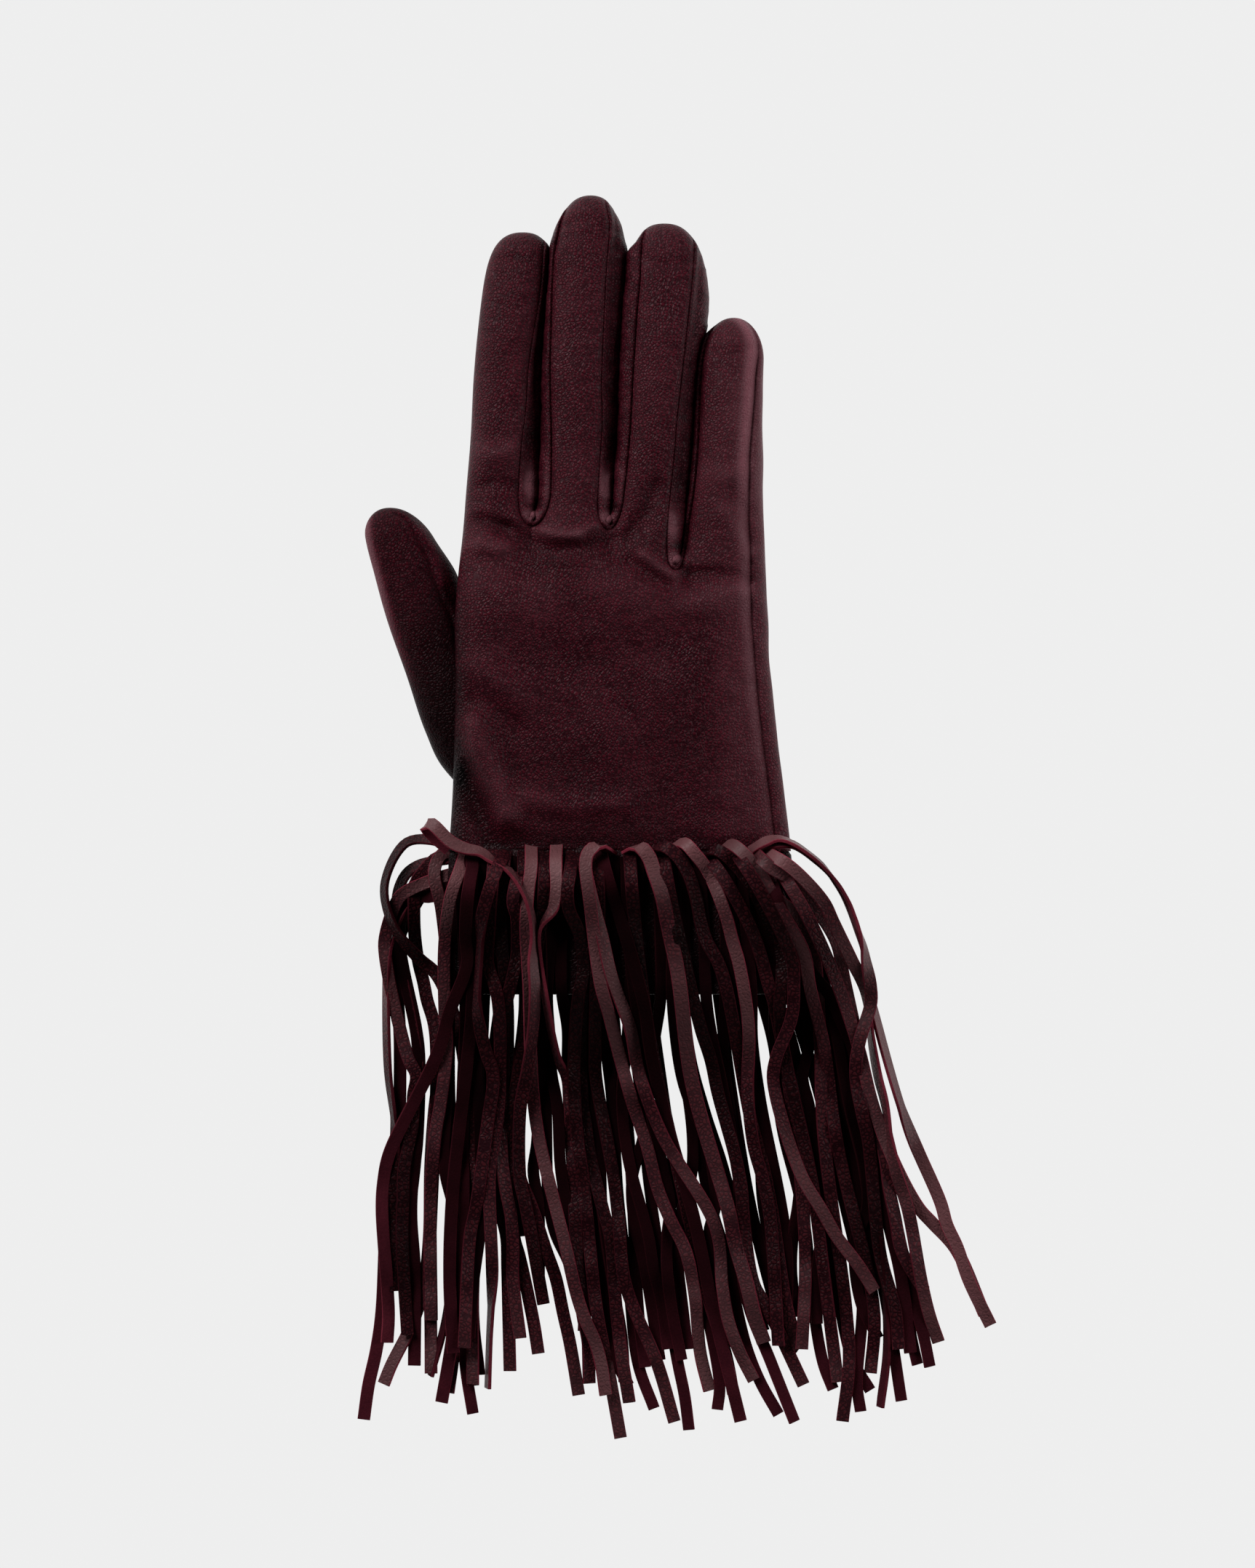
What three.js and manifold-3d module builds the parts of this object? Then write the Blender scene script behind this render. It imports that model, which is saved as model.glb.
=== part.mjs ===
// A woman's right-hand dress glove of thin burgundy leather, laid palm down with its fingers
// pointing along +Y. The hand, its three fourchettes, the thumb and the cuff are hollow leather
// walls, and a cut fringe is sewn round the wrist between the hand and the cuff.
// Millimetres, +Z up, the origin under the middle of the palm on the surface that it lies on.
import * as THREE from "three";
import { mergeVertices } from "three/addons/utils/BufferGeometryUtils.js";
import Module from "manifold-3d";

const wasm = await Module();
wasm.setup();

// Driving dimensions.
const LEATHER = 1.2; // wall of the glove
const GAP = 0.3; // between neighbouring pieces
const WRIST_Y = -44; // seam between hand and cuff, which holds the fringe
const HEM_Y = -83; // open end of the cuff
const HEM_TURN = { width: 8, thick: 2 }; // the hem is turned in, two layers thick
const UNDER_FRINGE = 2; // how far the cuff lies above the surface, on the fringe below it
const BAND = { width: 4, thick: 1.3 }; // sewn edge of the fringe
const STRIP = { width: 4, thick: 1.3 }; // one cut strip

// Cross-sections of the hand. lift raises the edge on the thumb's side, above the thumb.
const HAND = [
  { y: WRIST_Y, left: -46.2, right: 47.0, top: 14.6, lift: 0 },
  { y: -30, left: -45.4, right: 45.6, top: 15.0, lift: 2 },
  { y: -12, left: -44.6, right: 43.4, top: 15.8, lift: 5 },
  { y: 4, left: -44.2, right: 41.7, top: 16.4, lift: 6.5 },
  { y: 20, left: -44.4, right: 40.9, top: 16.4, lift: 6 },
  { y: 36, left: -43.3, right: 40.4, top: 15.6, lift: 3 },
  { y: 46, left: -42.4, right: 39.9, top: 14.4, lift: 0 },
];
const CUFF = [
  { y: HEM_Y, left: -47.2, right: 47.6, top: 13.2, lift: 0 },
  { y: WRIST_Y, left: -46.2, right: 47.0, top: 14.6, lift: 0 },
];
// Where the hand ends between its fingers: each crotch lies on this line.
const CROTCH_LINE = [
  { x: -44, y: 44.8 },
  { x: -23.6, y: 44.6 },
  { x: -3, y: 43.8 },
  { x: 15, y: 33 },
  { x: 42, y: 27 },
];
const FINGER_BASE_Y = 18; // the fingers' sections begin this far down inside the hand
const FINGERS = [
  {
    name: "index", tip: 125.6, height: 14,
    rows: [
      { y: 18, x: -33.4, half: 9.6 }, { y: 50, x: -32.2, half: 9.4 }, { y: 70, x: -31.0, half: 9.3 },
      { y: 86, x: -30.8, half: 8.9 }, { y: 110, x: -28.3, half: 8.5 }, { y: 126, x: -25.9, half: 7.6 },
    ],
  },
  {
    name: "middle", tip: 135.8, height: 15,
    rows: [
      { y: 18, x: -12.4, half: 9.6 }, { y: 50, x: -11.9, half: 9.8 }, { y: 70, x: -10.8, half: 10.1 },
      { y: 86, x: -10.7, half: 10.6 }, { y: 110, x: -8.8, half: 10.5 }, { y: 136, x: -8.2, half: 9.0 },
    ],
  },
  {
    name: "ring", tip: 128, height: 15,
    rows: [
      { y: 18, x: 7.6, half: 9.6 }, { y: 50, x: 8.7, half: 10.1 }, { y: 70, x: 10.3, half: 10.3 },
      { y: 86, x: 11.2, half: 10.6 }, { y: 110, x: 13.2, half: 10.6 }, { y: 128, x: 13.0, half: 8.2 },
    ],
  },
  {
    name: "little", tip: 102.2, height: 13.5,
    rows: [
      { y: 18, x: 28.8, half: 10.6 }, { y: 34, x: 29.0, half: 10.9 }, { y: 50, x: 29.5, half: 10.0 },
      { y: 70, x: 30.3, half: 8.9 }, { y: 86, x: 31.0, half: 8.1 }, { y: 102, x: 31.5, half: 6.2 },
    ],
  },
];
const THUMB = {
  name: "thumb", tip: 50,
  rows: [
    { y: -27, x: -38.0, half: 5.0, low: 4.5, high: 8.5 }, { y: -20, x: -41.3, half: 7.6, low: 1.0, high: 10.5 },
    { y: -12, x: -43.2, half: 9.4, low: 0, high: 12 }, { y: 4, x: -47.5, half: 10.5, low: 0, high: 12.6 },
    { y: 20, x: -52.6, half: 11.0, low: 0, high: 12.6 }, { y: 32, x: -55.6, half: 11.3, low: 0, high: 12.4 },
    { y: 42, x: -60.0, half: 9.0, low: 0, high: 11.4 }, { y: 50, x: -62.3, half: 6.4, low: 0, high: 10 },
  ],
};
const TIP_ROUND = 8; // length of a fingertip's rounding
// Seams of the fourchettes, the forked strips between the fingers, seen from above. A seam is
// never closer to its finger's side than the wall there, and a little more.
const SEAM_DEPTH = 2.4;
const FOURCHETTES = [
  {
    name: "fourchette_index_middle", between: [0, 1], crotch: 42.2,
    rows: [
      { y: 50, left: -27.4, right: -19.4 }, { y: 70, left: -26.2, right: -18.0 },
      { y: 86, left: -24.8, right: -18.3 }, { y: 110, left: -20.6, right: -17.7 },
      { y: 122, left: -19.8, right: -16.8 }, { y: 134, left: -18.4, right: -13.8 },
    ],
  },
  {
    name: "fourchette_middle_ring", between: [1, 2], crotch: 41.2,
    rows: [
      { y: 50, left: -5.6, right: 1.4 }, { y: 70, left: -4.8, right: 3.2 },
      { y: 86, left: -4.6, right: 4.0 }, { y: 110, left: -3.2, right: 5.4 },
      { y: 124, left: -2.2, right: 6.8 }, { y: 134, left: -3.6, right: 8.4 },
    ],
  },
  {
    name: "fourchette_ring_little", between: [2, 3], crotch: 30.2,
    rows: [
      { y: 38, left: 13.2, right: 18.6 }, { y: 54, left: 14.2, right: 21.0 },
      { y: 70, left: 15.4, right: 22.2 }, { y: 94, left: 18.4, right: 24.4 },
      { y: 110, left: 19.9, right: 26.8 }, { y: 126, left: 19.2, right: 28.0 },
    ],
  },
];
// The seam down the little finger's side of the hand, in the shoulder of the back.
const SIDE_SEAM = [
  { y: WRIST_Y, x: 43.4 }, { y: -10, x: 39.4 }, { y: 20, x: 36.5 }, { y: 50, x: 35.8 },
  { y: 70, x: 36.4 }, { y: 86, x: 37.4 }, { y: 94, x: 37.2 },
];
const SIDE_SEAM_LOW = 7.5; // the seam opens the back only above this height
const SEAM_WIDTH = 0.35;

// Strips over the back of the cuff, evenly rooted: how far across each lies, at 70, 110 and 150 mm
// down the glove from its middle, and where its tip is.
const FRONT_ROOTS = { from: -42.5, to: 46 };
const FRONT_STRIPS = [
  { at70: -48.4, at110: -48.2, at150: -51.6, tip: [-51.4, -173] },
  { at70: -42.0, at110: -55.0, at150: -66.0, tip: [-63.8, -179] },
  { at70: -38.2, at110: -34.6, at150: -30.8, tip: [-30.0, -187] },
  { at70: -23.6, at110: -17.0, at150: -4.8, tip: [-2.2, -181] },
  { at70: -28.0, at110: -31.8, at150: -36.0, tip: [-39.6, -190] },
  { at70: -23.8, at110: -23.0, at150: -15.4, tip: [0.2, -205.4] },
  { at70: -21.4, at110: -14.6, at150: -6.0, tip: [-8.2, -190] },
  { at70: -10.2, at110: -13.4, at150: -2.6, tip: [3.6, -196] },
  { at70: -5.6, at110: 6.4, at150: 25.4, tip: [43.6, -198.4] },
  { at70: 0.2, at110: 7.8, at150: 14.0, tip: [19.0, -203] },
  { at70: 7.2, at110: 11.6, at150: 21.6, tip: [27.0, -198] },
  { at70: 14.4, at110: 21.0, at150: 30.8, tip: [39.0, -178] },
  { at70: 24.6, at110: 30.4, at150: 41.4, tip: [48.6, -201] },
  { at70: 32.2, at110: 36.2, at150: 46.6, tip: [50.6, -190.6] },
  { at70: 41.2, at110: 46.6, at150: 52.0, tip: [59.2, -191] },
  { at70: 47.4, at110: 42.6, at150: 61.4, tip: [72.0, -167] },
  { at70: 50.2, at110: 57.6, at150: 64.8, tip: [68.4, -174] },
  { at70: 55.0, at110: 62.0, at150: 68.0, tip: [72.2, -191] },
  { at70: 60.4, at110: 66.4, at150: 74.6, tip: [78.4, -195] },
  { at70: 63.6, at110: 76.4, at150: 91.2, tip: [103.2, -174] },
  { at70: 66.6, at110: 70.6, at150: 80.0, tip: [84.0, -164] },
];
// Strips under the cuff, evenly rooted, which lie on the surface and fan out: a tip lies at drift
// times its root's distance across, plus a shift.
const UNDER_STRIPS = { count: 13, from: -40.5, to: 41.8, drift: 1.34, shift: 7 };
const UNDER_TIPS_Y = [-176, -190, -183, -194, -180];
// Loose loops at the two ends of the wrist, each out to its furthest reach and down.
const SIDE_LOOPS = [
  { side: -1, rootHigh: 10, lying: 2.3, out: 64, outY: -56, at110: -64, at150: -60.4, tip: [-58, -177] },
  { side: -1, rootHigh: 5.5, lying: 3.9, out: 66, outY: -68, at110: -60, at150: -66, tip: [-71, -200] },
  { side: 1, rootHigh: 8, lying: 2, out: 67, outY: -66, at110: 72.0, at150: 78.0, tip: [88.0, -178] },
];

const LEATHER_BURGUNDY = new THREE.MeshStandardMaterial({ color: 0x421820, roughness: 0.5, metalness: 0 });
const FRINGE_BURGUNDY = new THREE.MeshStandardMaterial({ color: 0x3c1319, roughness: 0.65, metalness: 0 });

// A table's value at a place: straight between rows, and held past the ends.
function lookUp(rows, key, at, along = "y") {
  if (at <= rows[0][along]) return rows[0][key];
  for (let i = 1; i < rows.length; i++) {
    const low = rows[i - 1];
    const high = rows[i];
    if (at <= high[along]) {
      return THREE.MathUtils.mapLinear(at, low[along], high[along], low[key], high[key]);
    }
  }
  return rows[rows.length - 1][key];
}

const rounded = (value, power) => Math.sign(value) * Math.abs(value) ** power;
const easeBetween = (value, from, to) => THREE.MathUtils.smoothstep(value, from, to);

// How far the leather must stay above the surface it lies on, at a distance along the glove.
const floorUnder = (y) => UNDER_FRINGE * (1 - easeBetween(y, WRIST_Y, WRIST_Y + 14));

// A closed tube along +Y from a cylinder: place(t, cos, sin, target) puts each of its vertices,
// from its share of the way along and its direction round the axis. An end's centre has no direction.
function tube(sides, steps, place) {
  const cylinder = new THREE.CylinderGeometry(1, 1, 1, sides, steps);
  cylinder.deleteAttribute("normal");
  cylinder.deleteAttribute("uv");
  const geometry = mergeVertices(cylinder, 1e-4);
  const position = geometry.getAttribute("position");
  const vertex = new THREE.Vector3();
  for (let i = 0; i < position.count; i++) {
    vertex.fromBufferAttribute(position, i);
    const radius = Math.hypot(vertex.x, vertex.z);
    const scale = radius > 0.5 ? 1 / radius : 0;
    place(vertex.y + 0.5, vertex.x * scale, vertex.z * scale, vertex);
    position.setXYZ(i, vertex.x, vertex.y, vertex.z);
  }
  return geometry;
}

function solid(geometry) {
  return new wasm.Manifold(new wasm.Mesh({
    numProp: 3,
    vertProperties: new Float32Array(geometry.getAttribute("position").array),
    triVerts: new Uint32Array(geometry.index.array),
  }));
}

function meshOf(name, manifold, material) {
  const made = manifold.getMesh();
  const geometry = new THREE.BufferGeometry();
  geometry.setAttribute("position", new THREE.BufferAttribute(made.vertProperties, 3));
  geometry.setIndex(new THREE.BufferAttribute(made.triVerts, 1));
  geometry.computeVertexNormals();
  const mesh = new THREE.Mesh(geometry, material);
  mesh.name = name;
  return mesh;
}

const joinAll = (solids) => solids.reduce((sum, next) => sum.add(next));

// One point of the hand's or cuff's flattened section, taken in by an inset.
const SECTION_POWER = 3;
const EDGE_POWER = 2 / SECTION_POWER;
const FLAT_UNDERSIDE = 1.2; // the section's underside bulges this far below, and is cut off flat
const LIFTED = { from: 16, to: 42, topShare: 0.3 }; // stretch across the hand, and the back's share
function flatSection(rows, y, cos, sin, inset, target) {
  const left = lookUp(rows, "left", y) + inset;
  const right = lookUp(rows, "right", y) - inset;
  const top = lookUp(rows, "top", y);
  const floor = floorUnder(y);
  const middle = (left + right) / 2;
  target.x = middle + ((right - left) / 2) * rounded(cos, EDGE_POWER);
  const lift = lookUp(rows, "lift", y) * easeBetween(-target.x, LIFTED.from, LIFTED.to);
  const low = floor + lift;
  const half = (top + lift * LIFTED.topShare - low) / 2;
  const flattened = FLAT_UNDERSIDE * (1 - floor / UNDER_FRINGE);
  const upwards = sin > 0 ? half - inset : half + flattened - inset;
  target.z = Math.max(low + half + upwards * rounded(sin, EDGE_POWER), low + inset);
  return target;
}

const HAND_SIDES = 24;
const HAND_STEPS = 6;
const HAND_CROWDING = 1.4; // stations crowd towards the fingers
const CROTCH = { round: 7, dip: 5 }; // the back dips towards its end between the fingers
function handBody(inset) {
  const start = WRIST_Y - (inset > 0 ? 1 : 0);
  const furthest = CROTCH_LINE[0].y;
  return solid(tube(HAND_SIDES, HAND_STEPS, (t, cos, sin, target) => {
    const s = 1 - (1 - t) ** HAND_CROWDING;
    flatSection(HAND, THREE.MathUtils.lerp(start, furthest, s), cos, sin, inset, target);
    const end = lookUp(CROTCH_LINE, "y", target.x, "x") - inset;
    const y = THREE.MathUtils.lerp(start, end, s);
    flatSection(HAND, y, cos, sin, inset, target);
    target.y = y;
    if (sin > 0) target.z -= CROTCH.dip * easeBetween(y, end - CROTCH.round, end) * sin;
  }));
}

// One point of a finger's or the thumb's section. The tip is rounded in plan and in height.
const LIMB_SIDES = 12;
const LIMB_STEPS = 9;
const LIMB_POWER = 2 / 2.4; // rounder than the hand
const LIMB_CROWDING = 1.9; // stations crowd towards the tip
const TIP_POWER = 2.4;
const TIP_LEAST = 0.12; // share of the section that is left at the very tip
function limb(spec, inset, start) {
  const end = spec.tip - inset;
  return solid(tube(LIMB_SIDES, LIMB_STEPS, (t, cos, sin, target) => {
    const s = 1 - (1 - t) ** LIMB_CROWDING;
    target.y = start + (end - start) * s;
    const left = Math.min(1, (end - target.y) / TIP_ROUND);
    const tipScale = Math.max(TIP_LEAST, (1 - (1 - left) ** TIP_POWER) ** (1 / TIP_POWER));
    const low = spec.rows[0].low === undefined ? 0 : lookUp(spec.rows, "low", target.y);
    const high = spec.height ?? lookUp(spec.rows, "high", target.y);
    const half = (high - low) / 2;
    target.x = lookUp(spec.rows, "x", target.y)
      + (lookUp(spec.rows, "half", target.y) - inset) * tipScale * rounded(cos, LIMB_POWER);
    const upwards = sin > 0 ? half - inset : half + FLAT_UNDERSIDE - inset;
    target.z = Math.max(low + half + upwards * tipScale * rounded(sin, LIMB_POWER), low + inset);
  }));
}

// A cutter through the height of the glove, from its outline seen from above.
const BELOW = -5;
const ABOVE = 40;
function prism(shape, low = BELOW) {
  const geometry = new THREE.ExtrudeGeometry(shape, { depth: ABOVE - low, bevelEnabled: false, curveSegments: 5 });
  geometry.deleteAttribute("normal");
  geometry.deleteAttribute("uv");
  return solid(mergeVertices(geometry, 1e-4)).translate([0, 0, low]);
}

// The fourchette's outline, closed round its crotch and left open past the fingertips.
const PAST_TIPS = 150;
const CROTCH_HALF = 3; // reach of the crotch's curve to each side of its bottom
function fourchetteOutline({ rows: seams, between, crotch }, margin) {
  const [before, after] = between.map((i) => FINGERS[i].rows);
  const rows = seams.map(({ y, left, right }) => ({
    y,
    left: Math.min(left, lookUp(before, "x", y) + lookUp(before, "half", y) - SEAM_DEPTH),
    right: Math.max(right, lookUp(after, "x", y) - lookUp(after, "half", y) + SEAM_DEPTH),
  }));
  const first = rows[0];
  const last = rows[rows.length - 1];
  const shape = new THREE.Shape();
  shape.moveTo(last.left - margin, PAST_TIPS);
  for (const row of rows.toReversed()) shape.lineTo(row.left - margin, row.y);
  const middle = (first.left + first.right) / 2;
  const bottom = crotch - margin;
  const half = CROTCH_HALF + margin;
  shape.bezierCurveTo(first.left - margin, bottom + 1, middle - half, bottom, middle, bottom);
  shape.bezierCurveTo(middle + half, bottom, first.right + margin, bottom + 1, first.right + margin, first.y);
  for (const row of rows.slice(1)) shape.lineTo(row.right + margin, row.y);
  shape.lineTo(last.right + margin, PAST_TIPS);
  return shape;
}

// The side seam's outline, which runs out past the wrist.
function sideSeamOutline() {
  const half = SEAM_WIDTH / 2;
  const rows = [{ y: WRIST_Y - 1, x: SIDE_SEAM[0].x }, ...SIDE_SEAM];
  return new THREE.Shape([
    ...rows.map(({ x, y }) => new THREE.Vector2(x - half, y)),
    ...rows.toReversed().map(({ x, y }) => new THREE.Vector2(x + half, y)),
  ]);
}

// The hand's whole wall, before its seams part it.
const fingersOut = FINGERS.map((spec) => limb(spec, 0, FINGER_BASE_Y));
const fingersIn = FINGERS.map((spec) => limb(spec, LEATHER, FINGER_BASE_Y - 4));
const handOut = joinAll([handBody(0), ...fingersOut]);
const handIn = joinAll([handBody(LEATHER), ...fingersIn]);
const handWall = handOut.subtract(handIn);
const thumbIn = limb(THUMB, LEATHER, THUMB.rows[0].y + 3);
const thumbOut = limb(THUMB, 0, THUMB.rows[0].y);

// The trank: back and palm in one piece, folded round the index finger's side.
function trank() {
  const slots = FOURCHETTES.map((spec) => prism(fourchetteOutline(spec, GAP / 2)));
  const seam = prism(sideSeamOutline(), SIDE_SEAM_LOW);
  return handWall.subtract(joinAll(slots)).subtract(seam).subtract(thumbIn);
}

function fourchette(spec) {
  return handWall.intersect(prism(fourchetteOutline(spec, -GAP / 2)));
}

// The thumb meets the palm at a butt seam round its opening.
function thumb() {
  const clearOfHand = joinAll([handBody(-GAP), ...FINGERS.map((spec) => limb(spec, -GAP, FINGER_BASE_Y))]);
  return thumbOut.subtract(thumbIn).subtract(clearOfHand);
}

function cuffTube(inset, from, to, steps = 1) {
  return solid(tube(HAND_SIDES, steps, (t, cos, sin, target) => {
    target.y = THREE.MathUtils.lerp(from, to, t);
    flatSection(CUFF, target.y, cos, sin, inset, target);
  }));
}

function cuff() {
  const top = WRIST_Y - GAP;
  const turnTop = HEM_Y + HEM_TURN.width;
  return cuffTube(0, HEM_Y, top, 2)
    .subtract(cuffTube(LEATHER, turnTop, top + 1))
    .subtract(cuffTube(HEM_TURN.thick, HEM_Y - 1, turnTop + GAP));
}

// The strips of the front lie in three layers, each a little uneven, on those underneath, and
// each layer arches higher than the last over the seam.
const LAYER_HIGH = [2.1, 3.6, 5.1];
const ARCH_HIGH = [3.6, 4.5, 5.4];
const UNEVEN = { step: 0.13, count: 5 };
const ROOT_Y = WRIST_Y - 2 * GAP - BAND.width / 2; // the middle of the band, where strips begin
const SUNK = 0.2; // how deep a strip underneath is let into the band
// Strips fall off the cuff over these distances past its side and past its hem.
const FALL = { sideFrom: 45, sideTo: 64, pastHem: 24 };

// Height of a strip's middle where it hangs over the cuff, or lies on the surface beyond it.
function restHeight(x, y, lying) {
  const overCuff = lookUp(CUFF, "top", y) - LAYER_HIGH[0] + STRIP.thick / 2 + 2 * GAP;
  const within = 1 - easeBetween(Math.abs(x), FALL.sideFrom, FALL.sideTo);
  return lying + overCuff * within * easeBetween(y, HEM_Y - FALL.pastHem, HEM_Y - 1);
}

// A flat strip along a curve: a box whose width stays level and square to the curve.
const LEAST_HEADING = 0.3; // of a strip's heading, this much at least points down the glove
function ribbon(points) {
  const curve = new THREE.CatmullRomCurve3(points, false, "centripetal");
  const box = new THREE.BoxGeometry(STRIP.width, STRIP.thick, 1, 1, 1, points.length - 1);
  box.deleteAttribute("normal");
  box.deleteAttribute("uv");
  const geometry = mergeVertices(box, 1e-4);
  const position = geometry.getAttribute("position");
  const ends = points[points.length - 1].clone().sub(points[0]);
  for (let i = 0; i < position.count; i++) {
    const t = THREE.MathUtils.clamp(position.getZ(i) + 0.5, 0, 1);
    const along = curve.getTangent(t);
    const plan = new THREE.Vector2(along.x, along.y);
    const heading = plan.dot(new THREE.Vector2(ends.x, ends.y)) < 0 ? plan.negate() : plan;
    const level = new THREE.Vector3(heading.x, Math.min(heading.y, -LEAST_HEADING), 0).normalize();
    const across = new THREE.Vector3(-level.y, level.x, 0);
    const outwards = along.clone().cross(across).normalize();
    const point = curve.getPoint(t)
      .addScaledVector(across, position.getX(i))
      .addScaledVector(outwards, position.getY(i));
    position.setXYZ(i, point.x, point.y, Math.max(point.z, 0));
  }
  return solid(geometry);
}

// The band's middle height at its top or bottom, at a distance across the wrist.
function bandHeight(x, side) {
  const reach = (CUFF[1].right - CUFF[1].left) / 2 + GAP + BAND.thick / 2;
  const offset = (x - (CUFF[1].right + CUFF[1].left) / 2) / reach;
  const half = (CUFF[1].top - UNDER_FRINGE) / 2;
  const share = (1 - Math.min(1, Math.abs(offset)) ** SECTION_POWER) ** (1 / SECTION_POWER);
  return UNDER_FRINGE + half + side * (half + GAP + BAND.thick / 2) * share;
}

// A strip over the back of the cuff: up out of the seam, over in an arch and down to its tip.
function frontStrip({ at70, at110, at150, tip }, i) {
  const root = THREE.MathUtils.lerp(FRONT_ROOTS.from, FRONT_ROOTS.to, i / (FRONT_STRIPS.length - 1));
  const layer = i % LAYER_HIGH.length;
  const lying = LAYER_HIGH[layer] + UNEVEN.step * (i % UNEVEN.count);
  const arch = ARCH_HIGH[layer];
  const high = bandHeight(root, 1);
  const below = restHeight(at70, -70, lying);
  const at90 = (at70 + at110) / 2;
  const across = (share) => THREE.MathUtils.lerp(root, at70, share);
  return ribbon([
    new THREE.Vector3(root, ROOT_Y, high),
    new THREE.Vector3(across(0.04), ROOT_Y + 1.6, high + arch * 0.75),
    new THREE.Vector3(across(0.2), ROOT_Y - 3, high + arch),
    new THREE.Vector3(across(0.5), ROOT_Y - 10.5, (high + below) / 2 + arch * 0.62),
    new THREE.Vector3(at70, -70, below + 0.8),
    new THREE.Vector3(at90, -90, restHeight(at90, -90, lying) + 0.6),
    new THREE.Vector3(at110, -110, lying),
    new THREE.Vector3(at150, -150, lying),
    new THREE.Vector3(...tip, lying),
  ]);
}

function underStrip(i) {
  const { count, from, to, drift, shift } = UNDER_STRIPS;
  const root = THREE.MathUtils.lerp(from, to, i / (count - 1));
  const low = STRIP.thick / 2;
  const tipX = root * drift + shift;
  return ribbon([
    new THREE.Vector3(root, ROOT_Y + 1, Math.max(low, bandHeight(root, -1) - SUNK)),
    new THREE.Vector3(root, ROOT_Y - 5, low),
    new THREE.Vector3(root * 1.04, -64, low),
    new THREE.Vector3(THREE.MathUtils.lerp(root, tipX, 0.5), -115, low),
    new THREE.Vector3(tipX, UNDER_TIPS_Y[i % UNDER_TIPS_Y.length], low),
  ]);
}

// A loose loop out of the end of the wrist's seam, which sweeps out sideways before it falls.
function sideLoop({ side, rootHigh, lying, out, outY, at110, at150, tip }) {
  const edge = side < 0 ? CUFF[1].left : CUFF[1].right;
  return ribbon([
    new THREE.Vector3(edge + side * (GAP + BAND.thick * 0.3), ROOT_Y, rootHigh),
    new THREE.Vector3(edge + side * 5, ROOT_Y - 0.5, rootHigh + 2),
    new THREE.Vector3((edge + side * out * 1.1) / 2, (ROOT_Y + outY) / 2 + 2, rootHigh + 1),
    new THREE.Vector3(side * out, outY, lying + 2),
    new THREE.Vector3((side * out + at110) / 2, -90, lying),
    new THREE.Vector3(at110, -110, lying),
    new THREE.Vector3(at150, -150, lying),
    new THREE.Vector3(...tip, lying),
  ]);
}

// The fringe: its strips fused to the band that is sewn round the wrist, outside the cuff.
function fringe() {
  const top = WRIST_Y - 2 * GAP;
  const strips = [
    ...FRONT_STRIPS.map(frontStrip),
    ...Array.from({ length: UNDER_STRIPS.count }, (_, i) => underStrip(i)),
    ...SIDE_LOOPS.map(sideLoop),
  ];
  return joinAll([cuffTube(-GAP - BAND.thick, top - BAND.width, top), ...strips])
    .subtract(cuffTube(-GAP, HEM_Y, WRIST_Y));
}

const glove = new THREE.Group();
glove.add(meshOf("trank", trank(), LEATHER_BURGUNDY));
for (const spec of FOURCHETTES) glove.add(meshOf(spec.name, fourchette(spec), LEATHER_BURGUNDY));
glove.add(meshOf("thumb", thumb(), LEATHER_BURGUNDY));
glove.add(meshOf("cuff", cuff(), LEATHER_BURGUNDY));
glove.add(meshOf("fringe", fringe(), FRINGE_BURGUNDY));

export default glove;
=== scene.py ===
"""A woman's right-hand dress glove of burgundy nappa leather with a long leather fringe round the
wrist, laid palm down on a pale ground and seen from straight above.

Sizes are in millimetres in the tables below, and become metres where a mesh is made. +Y runs
along the hand to the fingertips, +X to the little finger's side and +Z up out of its back.
"""
import bpy
import bmesh
import math
import numpy as np
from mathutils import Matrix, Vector


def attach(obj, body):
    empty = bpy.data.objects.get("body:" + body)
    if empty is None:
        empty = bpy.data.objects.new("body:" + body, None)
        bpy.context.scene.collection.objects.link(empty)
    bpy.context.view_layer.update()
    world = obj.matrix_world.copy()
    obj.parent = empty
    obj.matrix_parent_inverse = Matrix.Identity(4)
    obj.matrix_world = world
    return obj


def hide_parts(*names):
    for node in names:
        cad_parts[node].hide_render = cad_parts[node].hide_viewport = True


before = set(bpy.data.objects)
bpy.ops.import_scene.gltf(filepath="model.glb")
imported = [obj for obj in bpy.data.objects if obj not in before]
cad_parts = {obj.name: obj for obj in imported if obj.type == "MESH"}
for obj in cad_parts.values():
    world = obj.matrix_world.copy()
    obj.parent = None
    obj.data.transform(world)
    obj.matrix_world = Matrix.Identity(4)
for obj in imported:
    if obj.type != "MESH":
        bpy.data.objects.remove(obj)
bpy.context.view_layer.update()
MM = 0.001


def table(columns, *rows):
    """A table's rows as one array for each named column."""
    return dict(zip(columns.split(), np.array(rows, float).T))


# The hand's outline, height and how far the thumb lifts its left edge
WRIST_Y = -44.0
HAND = table(
    "y left right top lift",
    (-84, -47.2, 47.6, 13.2, 0),
    (-44, -46.3, 47.2, 14.6, 0),
    (-28, -45.3, 45.4, 15.0, 2.2),
    (-12, -44.7, 43.4, 15.8, 5.0),
    (4, -44.3, 41.7, 16.4, 6.5),
    (20, -44.5, 40.9, 16.4, 6.0),
    (36, -43.3, 40.4, 15.8, 3.0),
    (50, -42.2, 39.8, 15.0, 0),
)
LIFTED = (16, 42)  # how far to the left of the middle the lift begins, and is full
LIFT_OF_THE_BACK = 0.3
HAND_POWER = 3.0  # how square the flattened hand is in section
FINGER_POWER = 2.3
UNDER_FRINGE = 2.0  # the cuff lies this high, on the strips below it
WRIST_SLOPE = 14  # and the palm comes down from there over this length
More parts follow.
